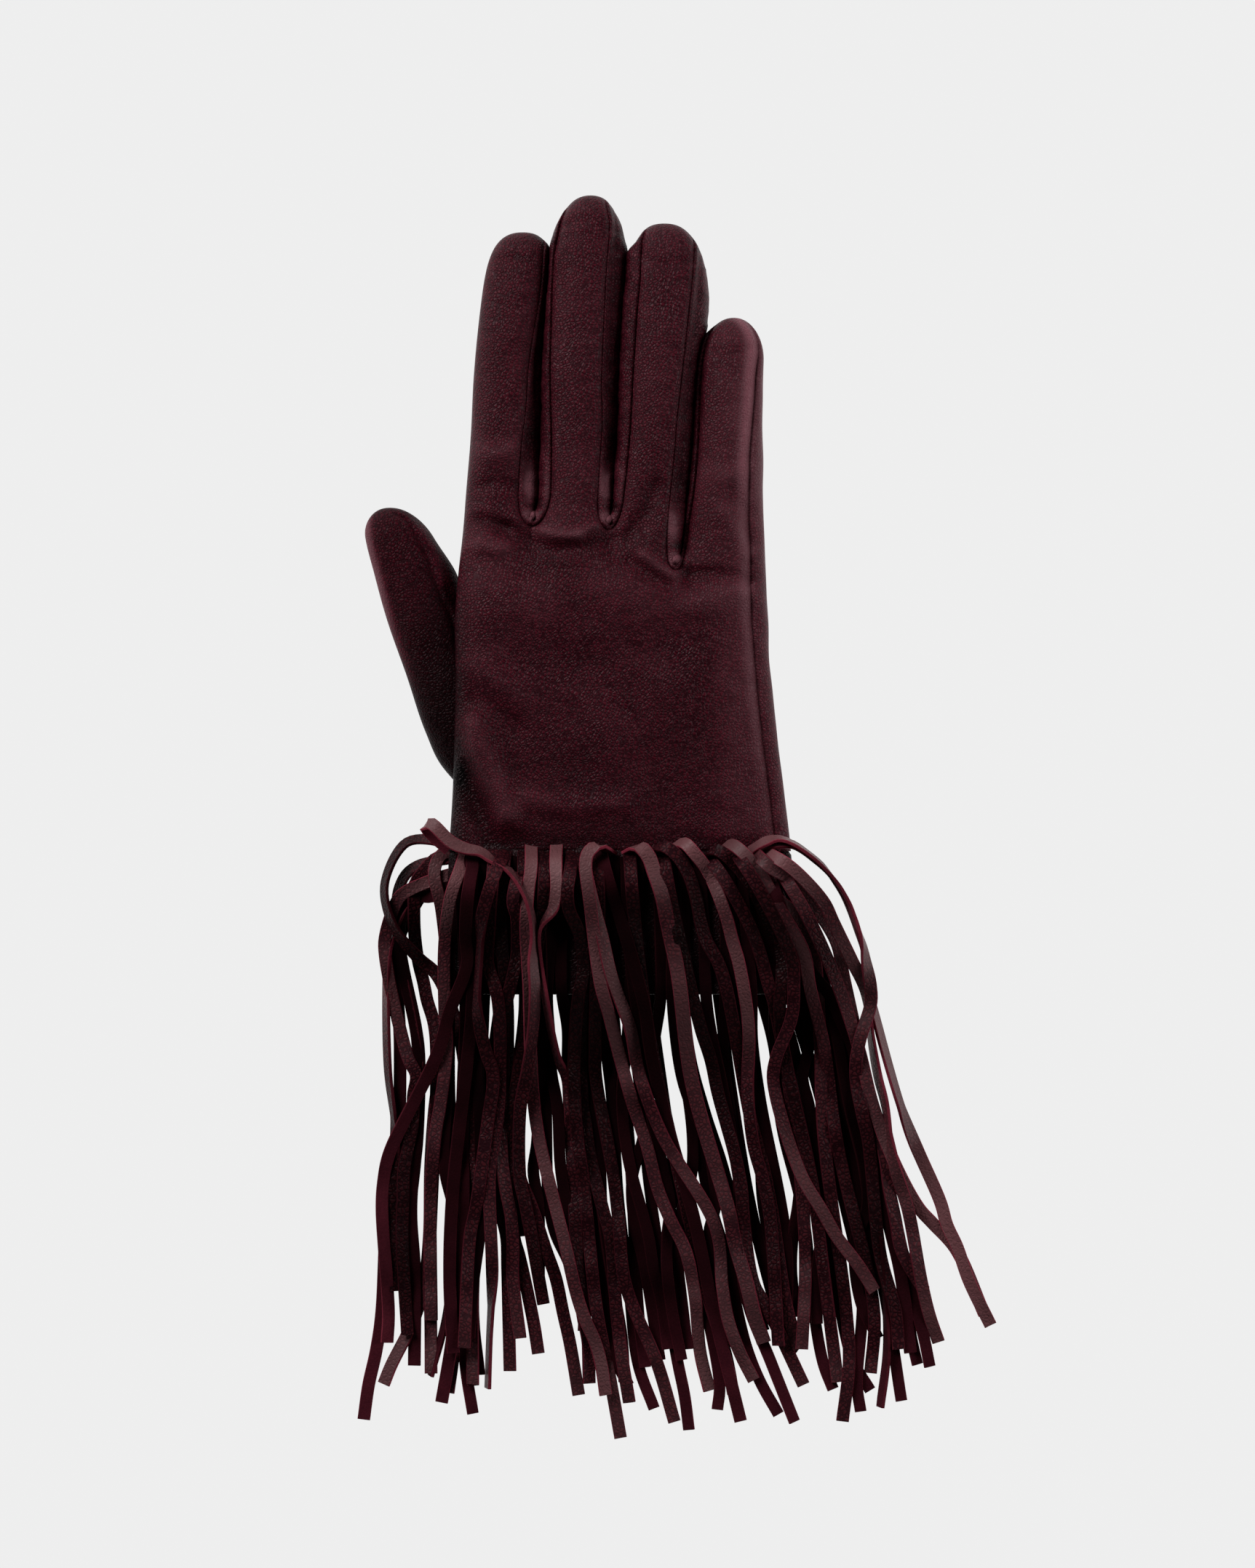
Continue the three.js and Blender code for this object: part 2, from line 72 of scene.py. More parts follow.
FLATTENED = 1.3  # how far a round underside is pressed flat

# Each finger's middle line, half width and height, and the form of its tip
FINGERS = {
    "index": dict(tip=125.7, tip_length=11, tip_power=2.3, tip_root=0.42, rows=table(
        "y x half high",
        (10, -33.4, 9.6, 15), (30, -33.2, 9.9, 15), (50, -32.6, 9.4, 14.4), (70, -30.9, 9.5, 14.2),
        (86, -30.6, 9.0, 14), (102, -29.4, 8.7, 13.6), (112, -28.3, 8.5, 12.8), (119, -26.9, 8.6, 11.8),
        (126, -26.2, 8.7, 10.6))),
    "middle": dict(tip=135.8, tip_length=20, tip_power=1.8, tip_root=0.45, rows=table(
        "y x half high",
        (10, -12.4, 9.6, 15), (30, -12.3, 9.8, 15), (50, -12.0, 9.9, 15), (70, -10.7, 10.3, 15),
        (86, -10.5, 10.8, 15), (110, -9.0, 11.2, 14.2), (122, -8.4, 11.2, 13.2), (136, -7.6, 11.2, 11.0))),
    "ring": dict(tip=128.1, tip_length=19, tip_power=2.1, tip_root=0.42, rows=table(
        "y x half high",
        (10, 7.6, 9.8, 15), (30, 8.0, 10.0, 15), (50, 8.8, 10.4, 15), (70, 10.3, 10.7, 15),
        (86, 11.3, 11.0, 15), (104, 13.3, 11.4, 14.4), (116, 13.3, 11.3, 13.2), (128, 12.6, 11.2, 11.0))),
    "little": dict(tip=102.3, tip_length=12, tip_power=2.0, tip_root=0.5, rows=table(
        "y x half high",
        (6, 28.6, 11.0, 14.4), (34, 28.9, 11.5, 14.2), (50, 29.4, 10.4, 13.8), (70, 30.4, 9.1, 13.4),
        (86, 30.9, 8.6, 12.8), (94, 31.3, 8.5, 12.0), (102, 31.6, 8.6, 10.4))),
}
# The gaps between fingers: where each crotch is, the line it leaves down the hand, and the seams
# of its fourchette on the left and on the right finger
GAPS = (
    dict(between=("index", "middle"), x=-23.5, y=44.5, wrist_x=-20, turn=(8, 11), contact=0.62, seams=table(
        "y left right",
        (44, -27.4, -18.3), (51, -27.3, -18.2), (60, -27.0, -18.1), (68, -26.3, -18.0), (76, -25.3, -18.2),
        (87.5, -24.6, -18.4), (96, -23.5, -18.2), (104, -22.1, -18.0), (112, -21.1, -17.8),
        (119, -20.6, -17.3), (124, -20.2, -16.4), (128, -20.2, -15.6), (136, -20.2, -12.4))),
    dict(between=("middle", "ring"), x=-2.9, y=43.6, wrist_x=-0.5, turn=(8, 9), contact=0.56, seams=table(
        "y left right",
        (43, -5.8, 1.2), (50, -5.7, 1.4), (60, -5.2, 2.5), (75, -4.4, 3.7), (82, -4.6, 4.0),
        (92, -4.3, 4.6), (104, -3.8, 5.4), (112, -3.4, 6.1), (119, -2.9, 6.4), (123.5, -2.5, 6.8),
        (128, -2.5, 8.2), (136, -4.0, 9.6))),
    dict(between=("ring", "little"), x=15.3, y=32.6, wrist_x=20.5, turn=(9, 9), contact=0.76, seams=table(
        "y left right",
        (32, 12.8, 18.4), (42, 13.2, 18.9), (54, 14.2, 20.8), (64, 15.2, 21.8), (75, 16.1, 22.3),
        (82, 16.9, 22.5), (90, 17.8, 23.2), (98, 18.7, 25.0), (103, 19.2, 27.0), (110, 20.0, 28.0),
        (118.4, 20.6, 29.0), (122.5, 20.7, 29.0), (128, 19.0, 29.0))),
)
# The long seam down the little finger's side
SIDE_SEAM = table(
    "y x",
    (-44, 43.2), (-28, 41.3), (-10, 39.0), (10, 37.1), (22, 36.3), (38, 36.0), (50, 35.7), (66, 36.0),
    (76, 36.8), (88, 37.7), (93, 38.2), (97, 37.6), (99.5, 36.4), (102.5, 34.0),
)


def along(rows, column, at):
    """A column's value at places along a table, on a smooth curve through its rows."""
    places, values = rows["y"], rows[column]
    slopes = np.gradient(values, places)
    at = np.clip(at, places[0], places[-1])
    i = np.clip(np.searchsorted(places, at, side="right") - 1, 0, len(places) - 2)
    step = places[i + 1] - places[i]
    t = (at - places[i]) / step
    start = (1 + 2 * t) * (1 - t) ** 2 * values[i] + t * (1 - t) ** 2 * step * slopes[i]
    return start + t * t * (3 - 2 * t) * values[i + 1] - t * t * (1 - t) * step * slopes[i + 1]


def ease(value, start, end):
    """0 before start and 1 after end, smoothly between."""
    t = np.clip((value - start) / (end - start), 0, 1)
    return t * t * (3 - 2 * t)


def ease_past(gap, y, limits):
    """0 to 1 between two lengths past a gap's crotch."""
    return ease(y, *(gap["y"] + past for past in limits))


def mix(a, b, share):
    """Between a and b, by a share from 0 to 1."""
    return a + (b - a) * share


def higher(a, b, soft):
    """The higher of two surfaces, rounded where they cross."""
    return (a + b + np.sqrt((a - b) ** 2 + soft * soft)) / 2


def bell(distance, width):
    """1 at no distance, dying away smoothly over a width."""
    return np.exp(-(distance / width) ** 2)


def ripples(x, y, seed):
    """Smooth random values from -1 to 1 that change over about one unit. Places divided by a length
    in mm make them change over that length."""
    size = 64
    lattice = np.random.default_rng(seed).uniform(-1, 1, (size, size))
    i, j = np.floor(x).astype(int), np.floor(y).astype(int)
    u, v = x - i, y - j
    u, v = u * u * (3 - 2 * u), v * v * (3 - 2 * v)
    low = mix(lattice[i % size, j % size], lattice[(i + 1) % size, j % size], u)
    high = mix(lattice[i % size, (j + 1) % size], lattice[(i + 1) % size, (j + 1) % size], u)
    return mix(low, high, v)


def round_section(t, power):
    """Height of a rounded section, 1 in its middle and 0 at its edges, at t from -1 to 1."""
    return (1 - np.abs(np.clip(t, -1, 1)) ** power) ** (1 / power)


def squared_off(circle, power):
    """A circle's cosines or sines on the rounded section of that power."""
    return np.sign(circle) * np.abs(circle) ** (2 / power)


SPREADING = 1.6  # how fast crowded places spread out from an end


def crowded(count, first, last):
    """Places from 0 to 1 that stand closer at each end, by the end spacing's share of the middle's."""
    i = np.arange(count)
    spacing = np.minimum(1, first * (1 + i) ** SPREADING)
    spacing = np.minimum(spacing, last * (1 + i[::-1]) ** SPREADING)
    places = np.concatenate([[0], np.cumsum(spacing)])
    return places / places[-1]


def finger_line(finger, y):
    """A finger's middle and half width at places along it."""
    from_tip = np.clip((finger["tip"] - y) / finger["tip_length"], 0, 1)
    taper = (1 - (1 - from_tip) ** finger["tip_power"]) ** finger["tip_root"]
    return along(finger["rows"], "x", y), along(finger["rows"], "half", y) * taper


OUTER_FINGERS = (32, 50)  # between these the outline turns from the hand's edges to the fingers'
EDGE_WAVE = dict(high=0.22, long=9, grows=(-30, 0))  # the little finger's side is a little wavy


def hand_edges(y):
    """The outline's left and right edge below the fingertips of the index and little finger."""
    left_finger, left_half = finger_line(FINGERS["index"], y)
    right_finger, right_half = finger_line(FINGERS["little"], y)
    fingers = ease(y, *OUTER_FINGERS)
    waves = EDGE_WAVE["high"] * ripples(y / EDGE_WAVE["long"], y * 0, 5) * ease(y, *EDGE_WAVE["grows"])
    left = mix(along(HAND, "left", y), left_finger - left_half, fingers)
    right = mix(along(HAND, "right", y), right_finger + right_half, fingers)
    return left, right + waves


OUTER_PARTING = ((-46, 44.5), (44, 27))  # across and along, where the outer fingers leave the hand


def crotch_line(x):
    """How far along the hand the fingers part, at a place across it."""
    crotches = [(gap["x"], gap["y"]) for gap in GAPS]
    places, heights = zip(OUTER_PARTING[0], *crotches, OUTER_PARTING[1])
    return np.interp(x, places, heights)


WEB, WEB_ENDS = 0.17, (1, 15)  # a finger's section spreads by this share, and stops past its crotch
TIP_DOME, TIP_DOME_POWER = 8.0, 2.2  # length and roundness of a fingertip's dome
PALM_ROUNDING = 0.3  # how softly the flat underside turns up
PALM_SINK = 0.02  # which keeps the underside's middle the lowest


def finger_surface(name, x, y, up):
    """Height of a finger's back (up 1) or palm side (up -1) at places on it."""
    finger = FINGERS[name]
    middle, half = finger_line(finger, y)
    left, right = hand_edges(y)
    web = 1 + WEB * (1 - ease(y, crotch_line(x) + WEB_ENDS[0], crotch_line(x) + WEB_ENDS[1]))
    to_left = middle - left if name == "index" else half * web
    to_right = right - middle if name == "little" else half * web
    reach = np.maximum(np.where(x > middle, to_right, to_left), 1e-6)
    high = along(finger["rows"], "high", y)
    dome = round_section(1 - np.clip((finger["tip"] - y) / TIP_DOME, 0, 1), TIP_DOME_POWER)
    section = dome * round_section((x - middle) / reach, FINGER_POWER)
    if up > 0:
        return high / 2 + high / 2 * section
    underside = high / 2 - (high / 2 + FLATTENED) * section
    return higher(underside, 0 * section, PALM_ROUNDING) - PALM_SINK * section


def hand_surface(x, y, up):
    """Height of the back (up 1) or the palm (up -1) of the hand and cuff, without its fingers."""
    left, right = hand_edges(y)
    lift = along(HAND, "lift", y) * ease(-x, *LIFTED)
    low = UNDER_FRINGE * (1 - ease(y, WRIST_Y, WRIST_Y + WRIST_SLOPE)) + lift
    half = (along(HAND, "top", y) + lift * LIFT_OF_THE_BACK - low) / 2
    section = round_section((x - (left + right) / 2) / ((right - left) / 2), HAND_POWER)
    if up > 0:
        return low + half + half * section
    return np.maximum(low + half - (half + FLATTENED) * section, low)


# Soft folds on the back: height (below 0 a hollow), width, how much painted highlight lies along it
# (below 0 painted shade), and the line it follows
FOLDS = (
    (0.7, 1.5, 0.8, ((-20.5, 43.2), (-16, 42), (-11, 41.8))),
    (0.5, 1.5, 0.4, ((-10, 42.6), (-6, 44.6))),
    (-0.6, 2.2, -0.12, ((-31, 43.8), (-25, 40), (-18, 37.8), (-10, 38.6), (-3.5, 40.4))),
    (-0.6, 1.8, -0.12, ((-43, 46), (-36, 46.2), (-30, 44.4))),
    (0.7, 2.6, 0.45, ((-43, 39.2), (-37, 39.6), (-31, 38.2))),
    (0.6, 1.8, 0.7, ((6.6, 36.4), (10.2, 33.8), (15, 31.2))),
    (-0.6, 2.0, -0.15, ((3.4, 35), (8, 31.4), (13.4, 28.2))),
    (-0.8, 2.6, -0.25, ((9.8, 55), (7.6, 48), (3, 41.4))),
    (0.5, 3.2, 0.1, ((13.4, 47), (10, 41), (8.4, 38))),
    (-0.8, 2.2, -0.3, ((18.5, 31.6), (25, 31.4), (32, 30.4), (36, 29.6))),
    (0.6, 4.4, 0.35, ((20, 24), (27, 24.6), (33, 27))),
    (0.5, 4.0, 0.1, ((-40, 7), (-34, 3), (-27, -2.5))),
    (-0.45, 3.4, 0, ((-42, -1), (-35, -5), (-28, -10))),
    (1.5, 3.4, 0.6, ((-40, -10), (-35, -22), (-30, -34))),
    (-1.1, 3.0, -0.4, ((-42, -22), (-38, -32), (-35, -43))),
    (0.6, 3.0, 0.25, ((-26, -30), (-12, -32), (2, -31))),
    (-0.5, 4.0, -0.3, ((-30, -43), (0, -42.5), (36, -43))),
    (0.5, 7.0, 0.2, ((-36, 29), (-28, 27), (-20, 24))),
    (0.5, 7.0, 0.2, ((-4, 29), (4, 28), (10, 24))),
    (-0.5, 7.0, -0.1, ((-24, 33), (-14, 33), (-4, 35))),
    (-0.5, 8.0, -0.08, ((-26, 12), (-8, 8), (10, 10))),
    (-0.6, 2.4, -0.2, ((31, 54), (35, 47), (37, 41))),
    (0.5, 2.0, 0.25, ((28.5, 49), (32, 43), (34.4, 37))),
    (0.5, 2.6, 0.4, ((-38, 66), (-34, 64), (-29, 65))),
    (-0.4, 1.6, -0.1, ((-39, 55), (-34, 56.6), (-29, 55))),
    (0.3, 2.6, 0.25, ((24, 60), (30, 58), (34, 60))),
    (-0.4, 1.2, -0.1, ((-16, 126.6), (-9, 127.8), (-3, 126))),
    (-0.35, 0.9, -0.1, ((-15, 123.6), (-8, 124.2), (-4, 123))),
    (-0.35, 1.0, -0.1, ((7.6, 117), (13, 116.2), (20, 117.4))),
    (-0.35, 1.0, -0.1, ((26, 93), (31, 91.8), (37, 93.6))),
    (-0.3, 1.2, -0.1, ((-37, 117), (-30, 118), (-24, 116.6))),
)


def line_distance(x, y, line):
    """Distance from each place to the nearest point of a line."""
    nearest = np.full(np.shape(x), 1e9)
    for (ax, ay), (bx, by) in zip(line, line[1:]):
        length = (bx - ax) ** 2 + (by - ay) ** 2
        t = np.clip(((x - ax) * (bx - ax) + (y - ay) * (by - ay)) / length, 0, 1)
        nearest = np.minimum(nearest, np.hypot(x - ax - t * (bx - ax), y - ay - t * (by - ay)))
    return nearest


FOLD_STRENGTH = 1.65
# Heights of what covers the whole back: broad swells, smaller ones, creases across and wrinkles
SWELLS, SMALL_SWELLS, CREASES, WRINKLES = 0.55, 0.22, 0.09, 0.03
CREASED_WHERE = (-0.2, 0.7)  # the creases come and go between these values of a slow ripple


def relief(x, y):
    """The back's folds, swells, hollows, creases and wrinkles, as height over its plain form."""
    height = 0.0 * x
    for high, wide, _, line in FOLDS:
        height = height + FOLD_STRENGTH * high * bell(line_distance(x, y, line), wide)
    height += SWELLS * ripples(x / 15, y / 19, 1) + SMALL_SWELLS * ripples(x / 6 + y / 15, y / 7, 2)
    creases = ripples(x / 9, y / 1.5, 3) * ease(ripples(x / 14, y / 12, 4), *CREASED_WHERE)
    return height + CREASES * creases + WRINKLES * ripples(x / 2.5, y / 0.9 + x / 6, 6)


GATHER = dict(high=0.45, wide=1.7, grows=(40.5, 43.6))  # small folds at the wrist seam
GATHER_PULL = 0.8  # by this share of their height they also draw the leather's edge down


def gathers(x, y):
    """The wrist seam draws the edge of the leather into small gathers."""
    return GATHER["high"] * ripples(x / GATHER["wide"], y * 0 + 2.5, 64) * ease(-y, *GATHER["grows"])


SEAM_GROOVE = (0.8, 0.55)  # depth and width of the sewn seams
SIDE_GROOVE = (1.1, 0.8)
SEAM_WITHIN = 0.97  # of a finger's half width, which no seam passes
NO_EDGE = 99  # stands for an edge that is nowhere near


def groove(distance, size):
    """Depth of a groove at a distance from its middle."""
    depth, width = size
    return depth * bell(distance, width)


def seam_edge(gap, side, y):
    """Where the trank ends on one side of a gap: the fourchette's seam, or below the crotch the
    line down the hand that the two fingers share."""
    finger = FINGERS[gap["between"][side]]
    middle, half = finger_line(finger, y)
    seam = along(gap["seams"], ("left", "right")[side], y)
    if side == 0:
        seam = np.minimum(seam, middle + SEAM_WITHIN * half)
    else:
        seam = np.maximum(seam, middle - SEAM_WITHIN * half)
    opened = np.clip((y - gap["y"]) / gap["turn"][side], 0, 1)
    turned = gap["x"] + (seam - gap["x"]) * np.sqrt(1 - (1 - opened) ** 2)
    below = mix(gap["wrist_x"], gap["x"], np.clip((y - WRIST_Y) / (gap["y"] - WRIST_Y), 0, 1))
    return np.where(y > gap["y"], turned, below)


ON_LITTLE_FINGER = 60  # past this the side seam runs on the finger alone


def side_seam(y):
    """The long seam, which never passes the little finger's own edge."""
    middle, half = finger_line(FINGERS["little"], y)
    edge = np.where(y > ON_LITTLE_FINGER, middle + SEAM_WITHIN * half, NO_EDGE)
    return np.minimum(along(SIDE_SEAM, "x", y), edge)


GAP_BESIDE = {"index": (None, 0), "middle": (0, 1), "ring": (1, 2), "little": (2, None)}
MEETS = 3.0  # how softly neighbouring fingers run together in the hand
PARTED = 7  # a finger has its own form alone this far past the crotch line
OWN_EDGE = 9  # and this near to the outline
INTO_HAND = (-11, 1)  # past the crotch line, between these, the hand's form becomes the fingers'
RELIEF_FADES = dict(index=6, little=5, tip=5)  # so far from the outer edges and the fingertips


def skin(name, x, y, up):
    """Height of the trank on one finger's share of it, from the wrist to the fingertip."""
    own = finger_surface(name, x, y, up)
    parted = ease(y, crotch_line(x), crotch_line(x) + PARTED)
    joined = -NO_EDGE * up
    for other in FINGERS:
        beside = finger_surface(other, x, np.minimum(y, FINGERS[other]["tip"]), up)
        joined = up * higher(up * joined, up * beside, MEETS)
    left, right = hand_edges(y)
    inner = ease(np.minimum(x - left, right - x), 0, OWN_EDGE)
    finger = mix(own, joined, (1 - parted) * inner)
    in_finger = ease(y, crotch_line(x) + INTO_HAND[0], crotch_line(x) + INTO_HAND[1])
    height = mix(hand_surface(x, y, up), finger, in_finger)
    if up < 0:
        return np.maximum(height, 0)
    inside = ease(FINGERS[name]["tip"] - y, 0, RELIEF_FADES["tip"])
    if name == "index":
        inside = inside * ease(x - left, 0, RELIEF_FADES["index"])
    if name == "little":
        inside = inside * ease(right - x, 0, RELIEF_FADES["little"])
    return height + (relief(x, y) + gathers(x, y)) * inside


SEAMS_FADE = 4  # this far from a fingertip


def strength_of_seams(name, y):
    """Seams flatten out towards a fingertip."""
    return ease(FINGERS[name]["tip"] - y, 0, SEAMS_FADE)


def trank_edges(name, y):
    """A finger's share of the trank, from its left to its right end, at places along it."""
    before, after = GAP_BESIDE[name]
    left, right = hand_edges(y)
    if before is not None:
        left = seam_edge(GAPS[before], 1, y)
    if after is not None:
        right = seam_edge(GAPS[after], 0, y)
    return left, right


STEP = 1.0  # between rows of the trank
SHARED_TO = 56  # all fingers share their rows up to here, past the crotches
TURN_ROWS = (8, 15)  # a gap's turn has rows over this length, and so many
CLOSEST = 0.04  # rows nearer than this are one
TIP_ROWS = (12.5, 22, 2.2)  # length of the fingertip that has rows of its own, how many, how crowded


def hand_rows():
    """Rows that all fingers share, from the wrist to past the crotches, crowded where a gap opens."""
    rows = list(np.arange(WRIST_Y, SHARED_TO, STEP))
    length, count = TURN_ROWS
    for gap in GAPS:
        turns = np.linspace(0, math.pi / 2, count)
        rows += list(gap["y"] + length * (1 - np.cos(turns)))
    rows = np.unique(np.round(rows, 3))
    crotches = [gap["y"] for gap in GAPS]
    kept = [rows[0]]
    for row in rows[1:]:
        if row in crotches and row - kept[-1] < CLOSEST:
            kept[-1] = row
        elif row - kept[-1] >= CLOSEST:
            kept.append(row)
    return np.array(kept)


def finger_rows(name):
    """All rows of a finger, from the wrist to its tip, where they crowd together."""
    tip = FINGERS[name]["tip"]
    length, count, crowding = TIP_ROWS
    shared = hand_rows()
    straight = np.arange(shared[-1] + STEP, tip - length - 0.5, STEP)
    round_tip = tip - length * np.linspace(1, 0, count) ** crowding
    return np.concatenate([shared, straight, round_tip])


def lay(bm, x, y, z, turned=False, columns_of=None, shades=None):
    """A bmesh grid laid over the places, in mm, that three arrays of rows and columns give. The
    faces of each column can take a material of their own, and each row a shade."""
    rows, columns = x.shape
    made = bmesh.ops.create_grid(bm, x_segments=columns - 1, y_segments=rows - 1, size=0.5)["verts"]
    if columns_of:
        for face in {face for vertex in made for face in vertex.link_faces}:
            middle = sum(vertex.co.x for vertex in face.verts) / 4
            face.material_index = columns_of[int((middle + 0.5) * (columns - 1))]
    places = np.stack([x, y, z], axis=-1) * MM
    for vertex in made:
        column = round((vertex.co.x + 0.5) * (columns - 1))
        row = round((vertex.co.y + 0.5) * (rows - 1))
        vertex.co = places[row, column]
        if shades is not None:
            vertex[bm.verts.layers.float["shade"]] = shades[row]
    if turned:
        faces = {face for vertex in made for face in vertex.link_faces}
        bmesh.ops.reverse_faces(bm, faces=list(faces))
    return made


def in_scene(name, data):
    """A new object of the scene, at the origin."""
    made = bpy.data.objects.new(name, data)
    bpy.context.scene.collection.objects.link(made)
    return made


def finish_piece(name, bm, materials, merge=0.00001, sharp=None, shade=None):
    """A mesh object from a bmesh, with its seams closed, its faces smooth and the shade of its
    leather, 1 for the plain colour, at each place."""
    bmesh.ops.remove_doubles(bm, verts=bm.verts, dist=merge)
    mesh = bpy.data.meshes.new(name)
    bm.to_mesh(mesh)
    bm.free()
    for material in materials:
        mesh.materials.append(material)
    if shade:
        places = np.empty(len(mesh.vertices) * 3)
        mesh.vertices.foreach_get("co", places)
        x, y = places.reshape(-1, 3)[:, :2].T / MM
        mesh.attributes.new("shade", "FLOAT", "POINT").data.foreach_set("value", shade(x, y))
    mesh.shade_smooth()
    if sharp:
        mesh.set_sharp_from_angle(angle=math.radians(sharp))
    return in_scene(name, mesh)


def thicken(piece, thickness):
    """Gives a leather skin its thickness behind the grain."""
    wall = piece.modifiers.new("thickness", "SOLIDIFY")
    wall.thickness = thickness * MM
    wall.offset = -1
    wall.use_even_offset = False
    wall.use_rim = True


SKIN_THICK = 0.6  # of the leather of the hand and the fourchettes
BACK_COLUMNS, PALM_COLUMNS = 30, 14
INDEX_BACK_COLUMNS = 34
CROWDED = 0.02  # the end columns' share of the middle ones' width, where a surface turns under
BACK_CROWDED, PALM_CROWDED = 0.22, 0.5  # and at a seam
GROOVE_BEGINS = (-1.6, 0.4)  # past a crotch, the seam's groove grows between these


def make_trank(material):
    """The hand: for each finger its share of the back and of the palm, joined along the fold."""
    bm = bmesh.new()
    for name in FINGERS:
        rows = finger_rows(name)
        left, right = trank_edges(name, rows)
        y_of = rows[:, None]
        seam = side_seam(rows)
        outer_left, outer_right = name == "index", name == "little"
        back_end = seam if outer_right else right
        count = INDEX_BACK_COLUMNS if outer_left else BACK_COLUMNS
        places = crowded(count, CROWDED if outer_left else BACK_CROWDED, BACK_CROWDED)
        x = left[:, None] + (back_end - left)[:, None] * places
        y = np.broadcast_to(y_of, x.shape)
        z = skin(name, x, y, 1)
        strength = strength_of_seams(name, y)
        for edge, gap in ((left, GAP_BESIDE[name][0]), (right, GAP_BESIDE[name][1])):
            if gap is not None:
                apart = ease_past(GAPS[gap], y, GROOVE_BEGINS)
                z = z - groove(x - edge[:, None], SEAM_GROOVE) * strength * apart
        if outer_right:
            z = z - groove(x - seam[:, None], SIDE_GROOVE) * strength
        lay(bm, x, y - GATHER_PULL * gathers(x, y), z)
        if outer_right:
            lay(bm, *side_panel(rows, seam, right))
        ends = (CROWDED if outer_left else PALM_CROWDED, CROWDED if outer_right else PALM_CROWDED)
        x = left[:, None] + (right - left)[:, None] * crowded(PALM_COLUMNS, *ends)
        y = np.broadcast_to(y_of, x.shape)
        z = skin(name, x, y, -1)
        lay(bm, x, y - GATHER_PULL * gathers(x, y), z, turned=True)
    piece = finish_piece("hand_leather", bm, [material], shade=trank_shade)
    thicken(piece, SKIN_THICK)
    dress(piece, "trank")


PANEL_COLUMNS = (18, 0.25, 0.04)  # how many, and how crowded at the seam and at the outline
CREST = 0.75  # how high the panel stands over the side seam's floor
PANEL_ROUNDNESS = 2.2
PANEL_GROOVE = (0.75, 0.6)
PANEL_WAVES = 0.18


def side_panel(rows, seam, edge):
    """The palm's leather where it comes up round the little finger's side to the long seam."""
    places = crowded(*PANEL_COLUMNS)
    x = seam[:, None] + (edge - seam)[:, None] * places
    y = np.broadcast_to(rows[:, None], x.shape)
    strength = strength_of_seams("little", y)
    at_seam = skin("little", seam[:, None], rows[:, None], 1)
    at_edge = skin("little", edge[:, None], rows[:, None], 1)
    groove_floor = at_seam - SIDE_GROOVE[0] * strength
    crest = groove_floor + CREST * strength
    bulge = at_edge + (crest - at_edge) * round_section(places[None, :] * np.ones_like(x), PANEL_ROUNDNESS)
    bulge = bulge - groove(x - seam[:, None], PANEL_GROOVE) * strength
    bulge = bulge + PANEL_WAVES * ripples(x / 3, y / 5, 12) * np.sin(math.pi * places) * strength
    return x, y - GATHER_PULL * gathers(x, y), bulge


CROTCH_HALF = 4.5  # half width of a gap at its crotch
LEVEL_TURN = 0.7  # how evenly a fourchette bulges from its back to its palm seam
APART_BY = (0.6, 2.6)  # two fingers part as the room between their outlines grows over these
APART_FROM = (30, 45)  # but only this far past their crotch
APART_AT_TIP = (8, 1)  # and always this far from the shorter one's tip
PRESSED = 0.35  # where the two meet, each side presses into the other by this
LEAST_BULGE = 0.2


def fourchette_reach(gap, side, y):
    """How far a fourchette bulges out of one finger: to where it meets the other finger's, or to
    the finger's own outline once the two stand apart."""
    (left, left_half), (right, right_half) = (finger_line(FINGERS[name], y) for name in gap["between"])
    own = left + left_half if side == 0 else right - right_half
    seams = [seam_edge(gap, each, y) for each in (0, 1)]
    meeting = mix(seams[0], seams[1], gap["contact"])
    apart = ease((right - right_half) - (left + left_half), *APART_BY)
    apart = apart * ease_past(gap, y, APART_FROM)
    nearest_tip = min(FINGERS[name]["tip"] for name in gap["between"])
    apart = np.maximum(apart, ease(y, *(nearest_tip - before for before in APART_AT_TIP)))
    outwards = 1 if side == 0 else -1
    bulge = (mix(meeting + PRESSED * outwards, own, apart) - seams[side]) * outwards
    return np.maximum(bulge, LEAST_BULGE)


FOURCHETTE_COLUMNS = (24, 0.2, 0.5)  # how many, and how crowded at the back's and the palm's seam
CROTCH_BULGE = 4.6  # how far it reaches from the crotch's seam into the gap
TURN_POWER = 0.9  # how the bulge changes from the crotch to the finger's side
BACK_SHARE = (0.35, 0.65)  # the fourchette's upper share ends between these, across it
GROOVE_WIDTH = 0.55  # past its groove the leather is as high as beside it
RECESS, RECESS_LEAST = (2.6, 0.25), 0.3  # how far below the left and the right finger's back it lies
RECESS_FROM, RECESS_OFF = (5, 22), (0.3, 1.8)  # past the crotch, and off the seam, where this grows
SIDE_WRINKLES, TOP_WRINKLES = (0.16, 0.12), 0.3  # heights of wrinkles outwards and upwards
PINCHES = dict(deep=0.55, often=6, shifted=0.6, within=0.8)  # folds that turn round the crotch
PINCH_RISE = 1.2  # the same folds upwards, as a share


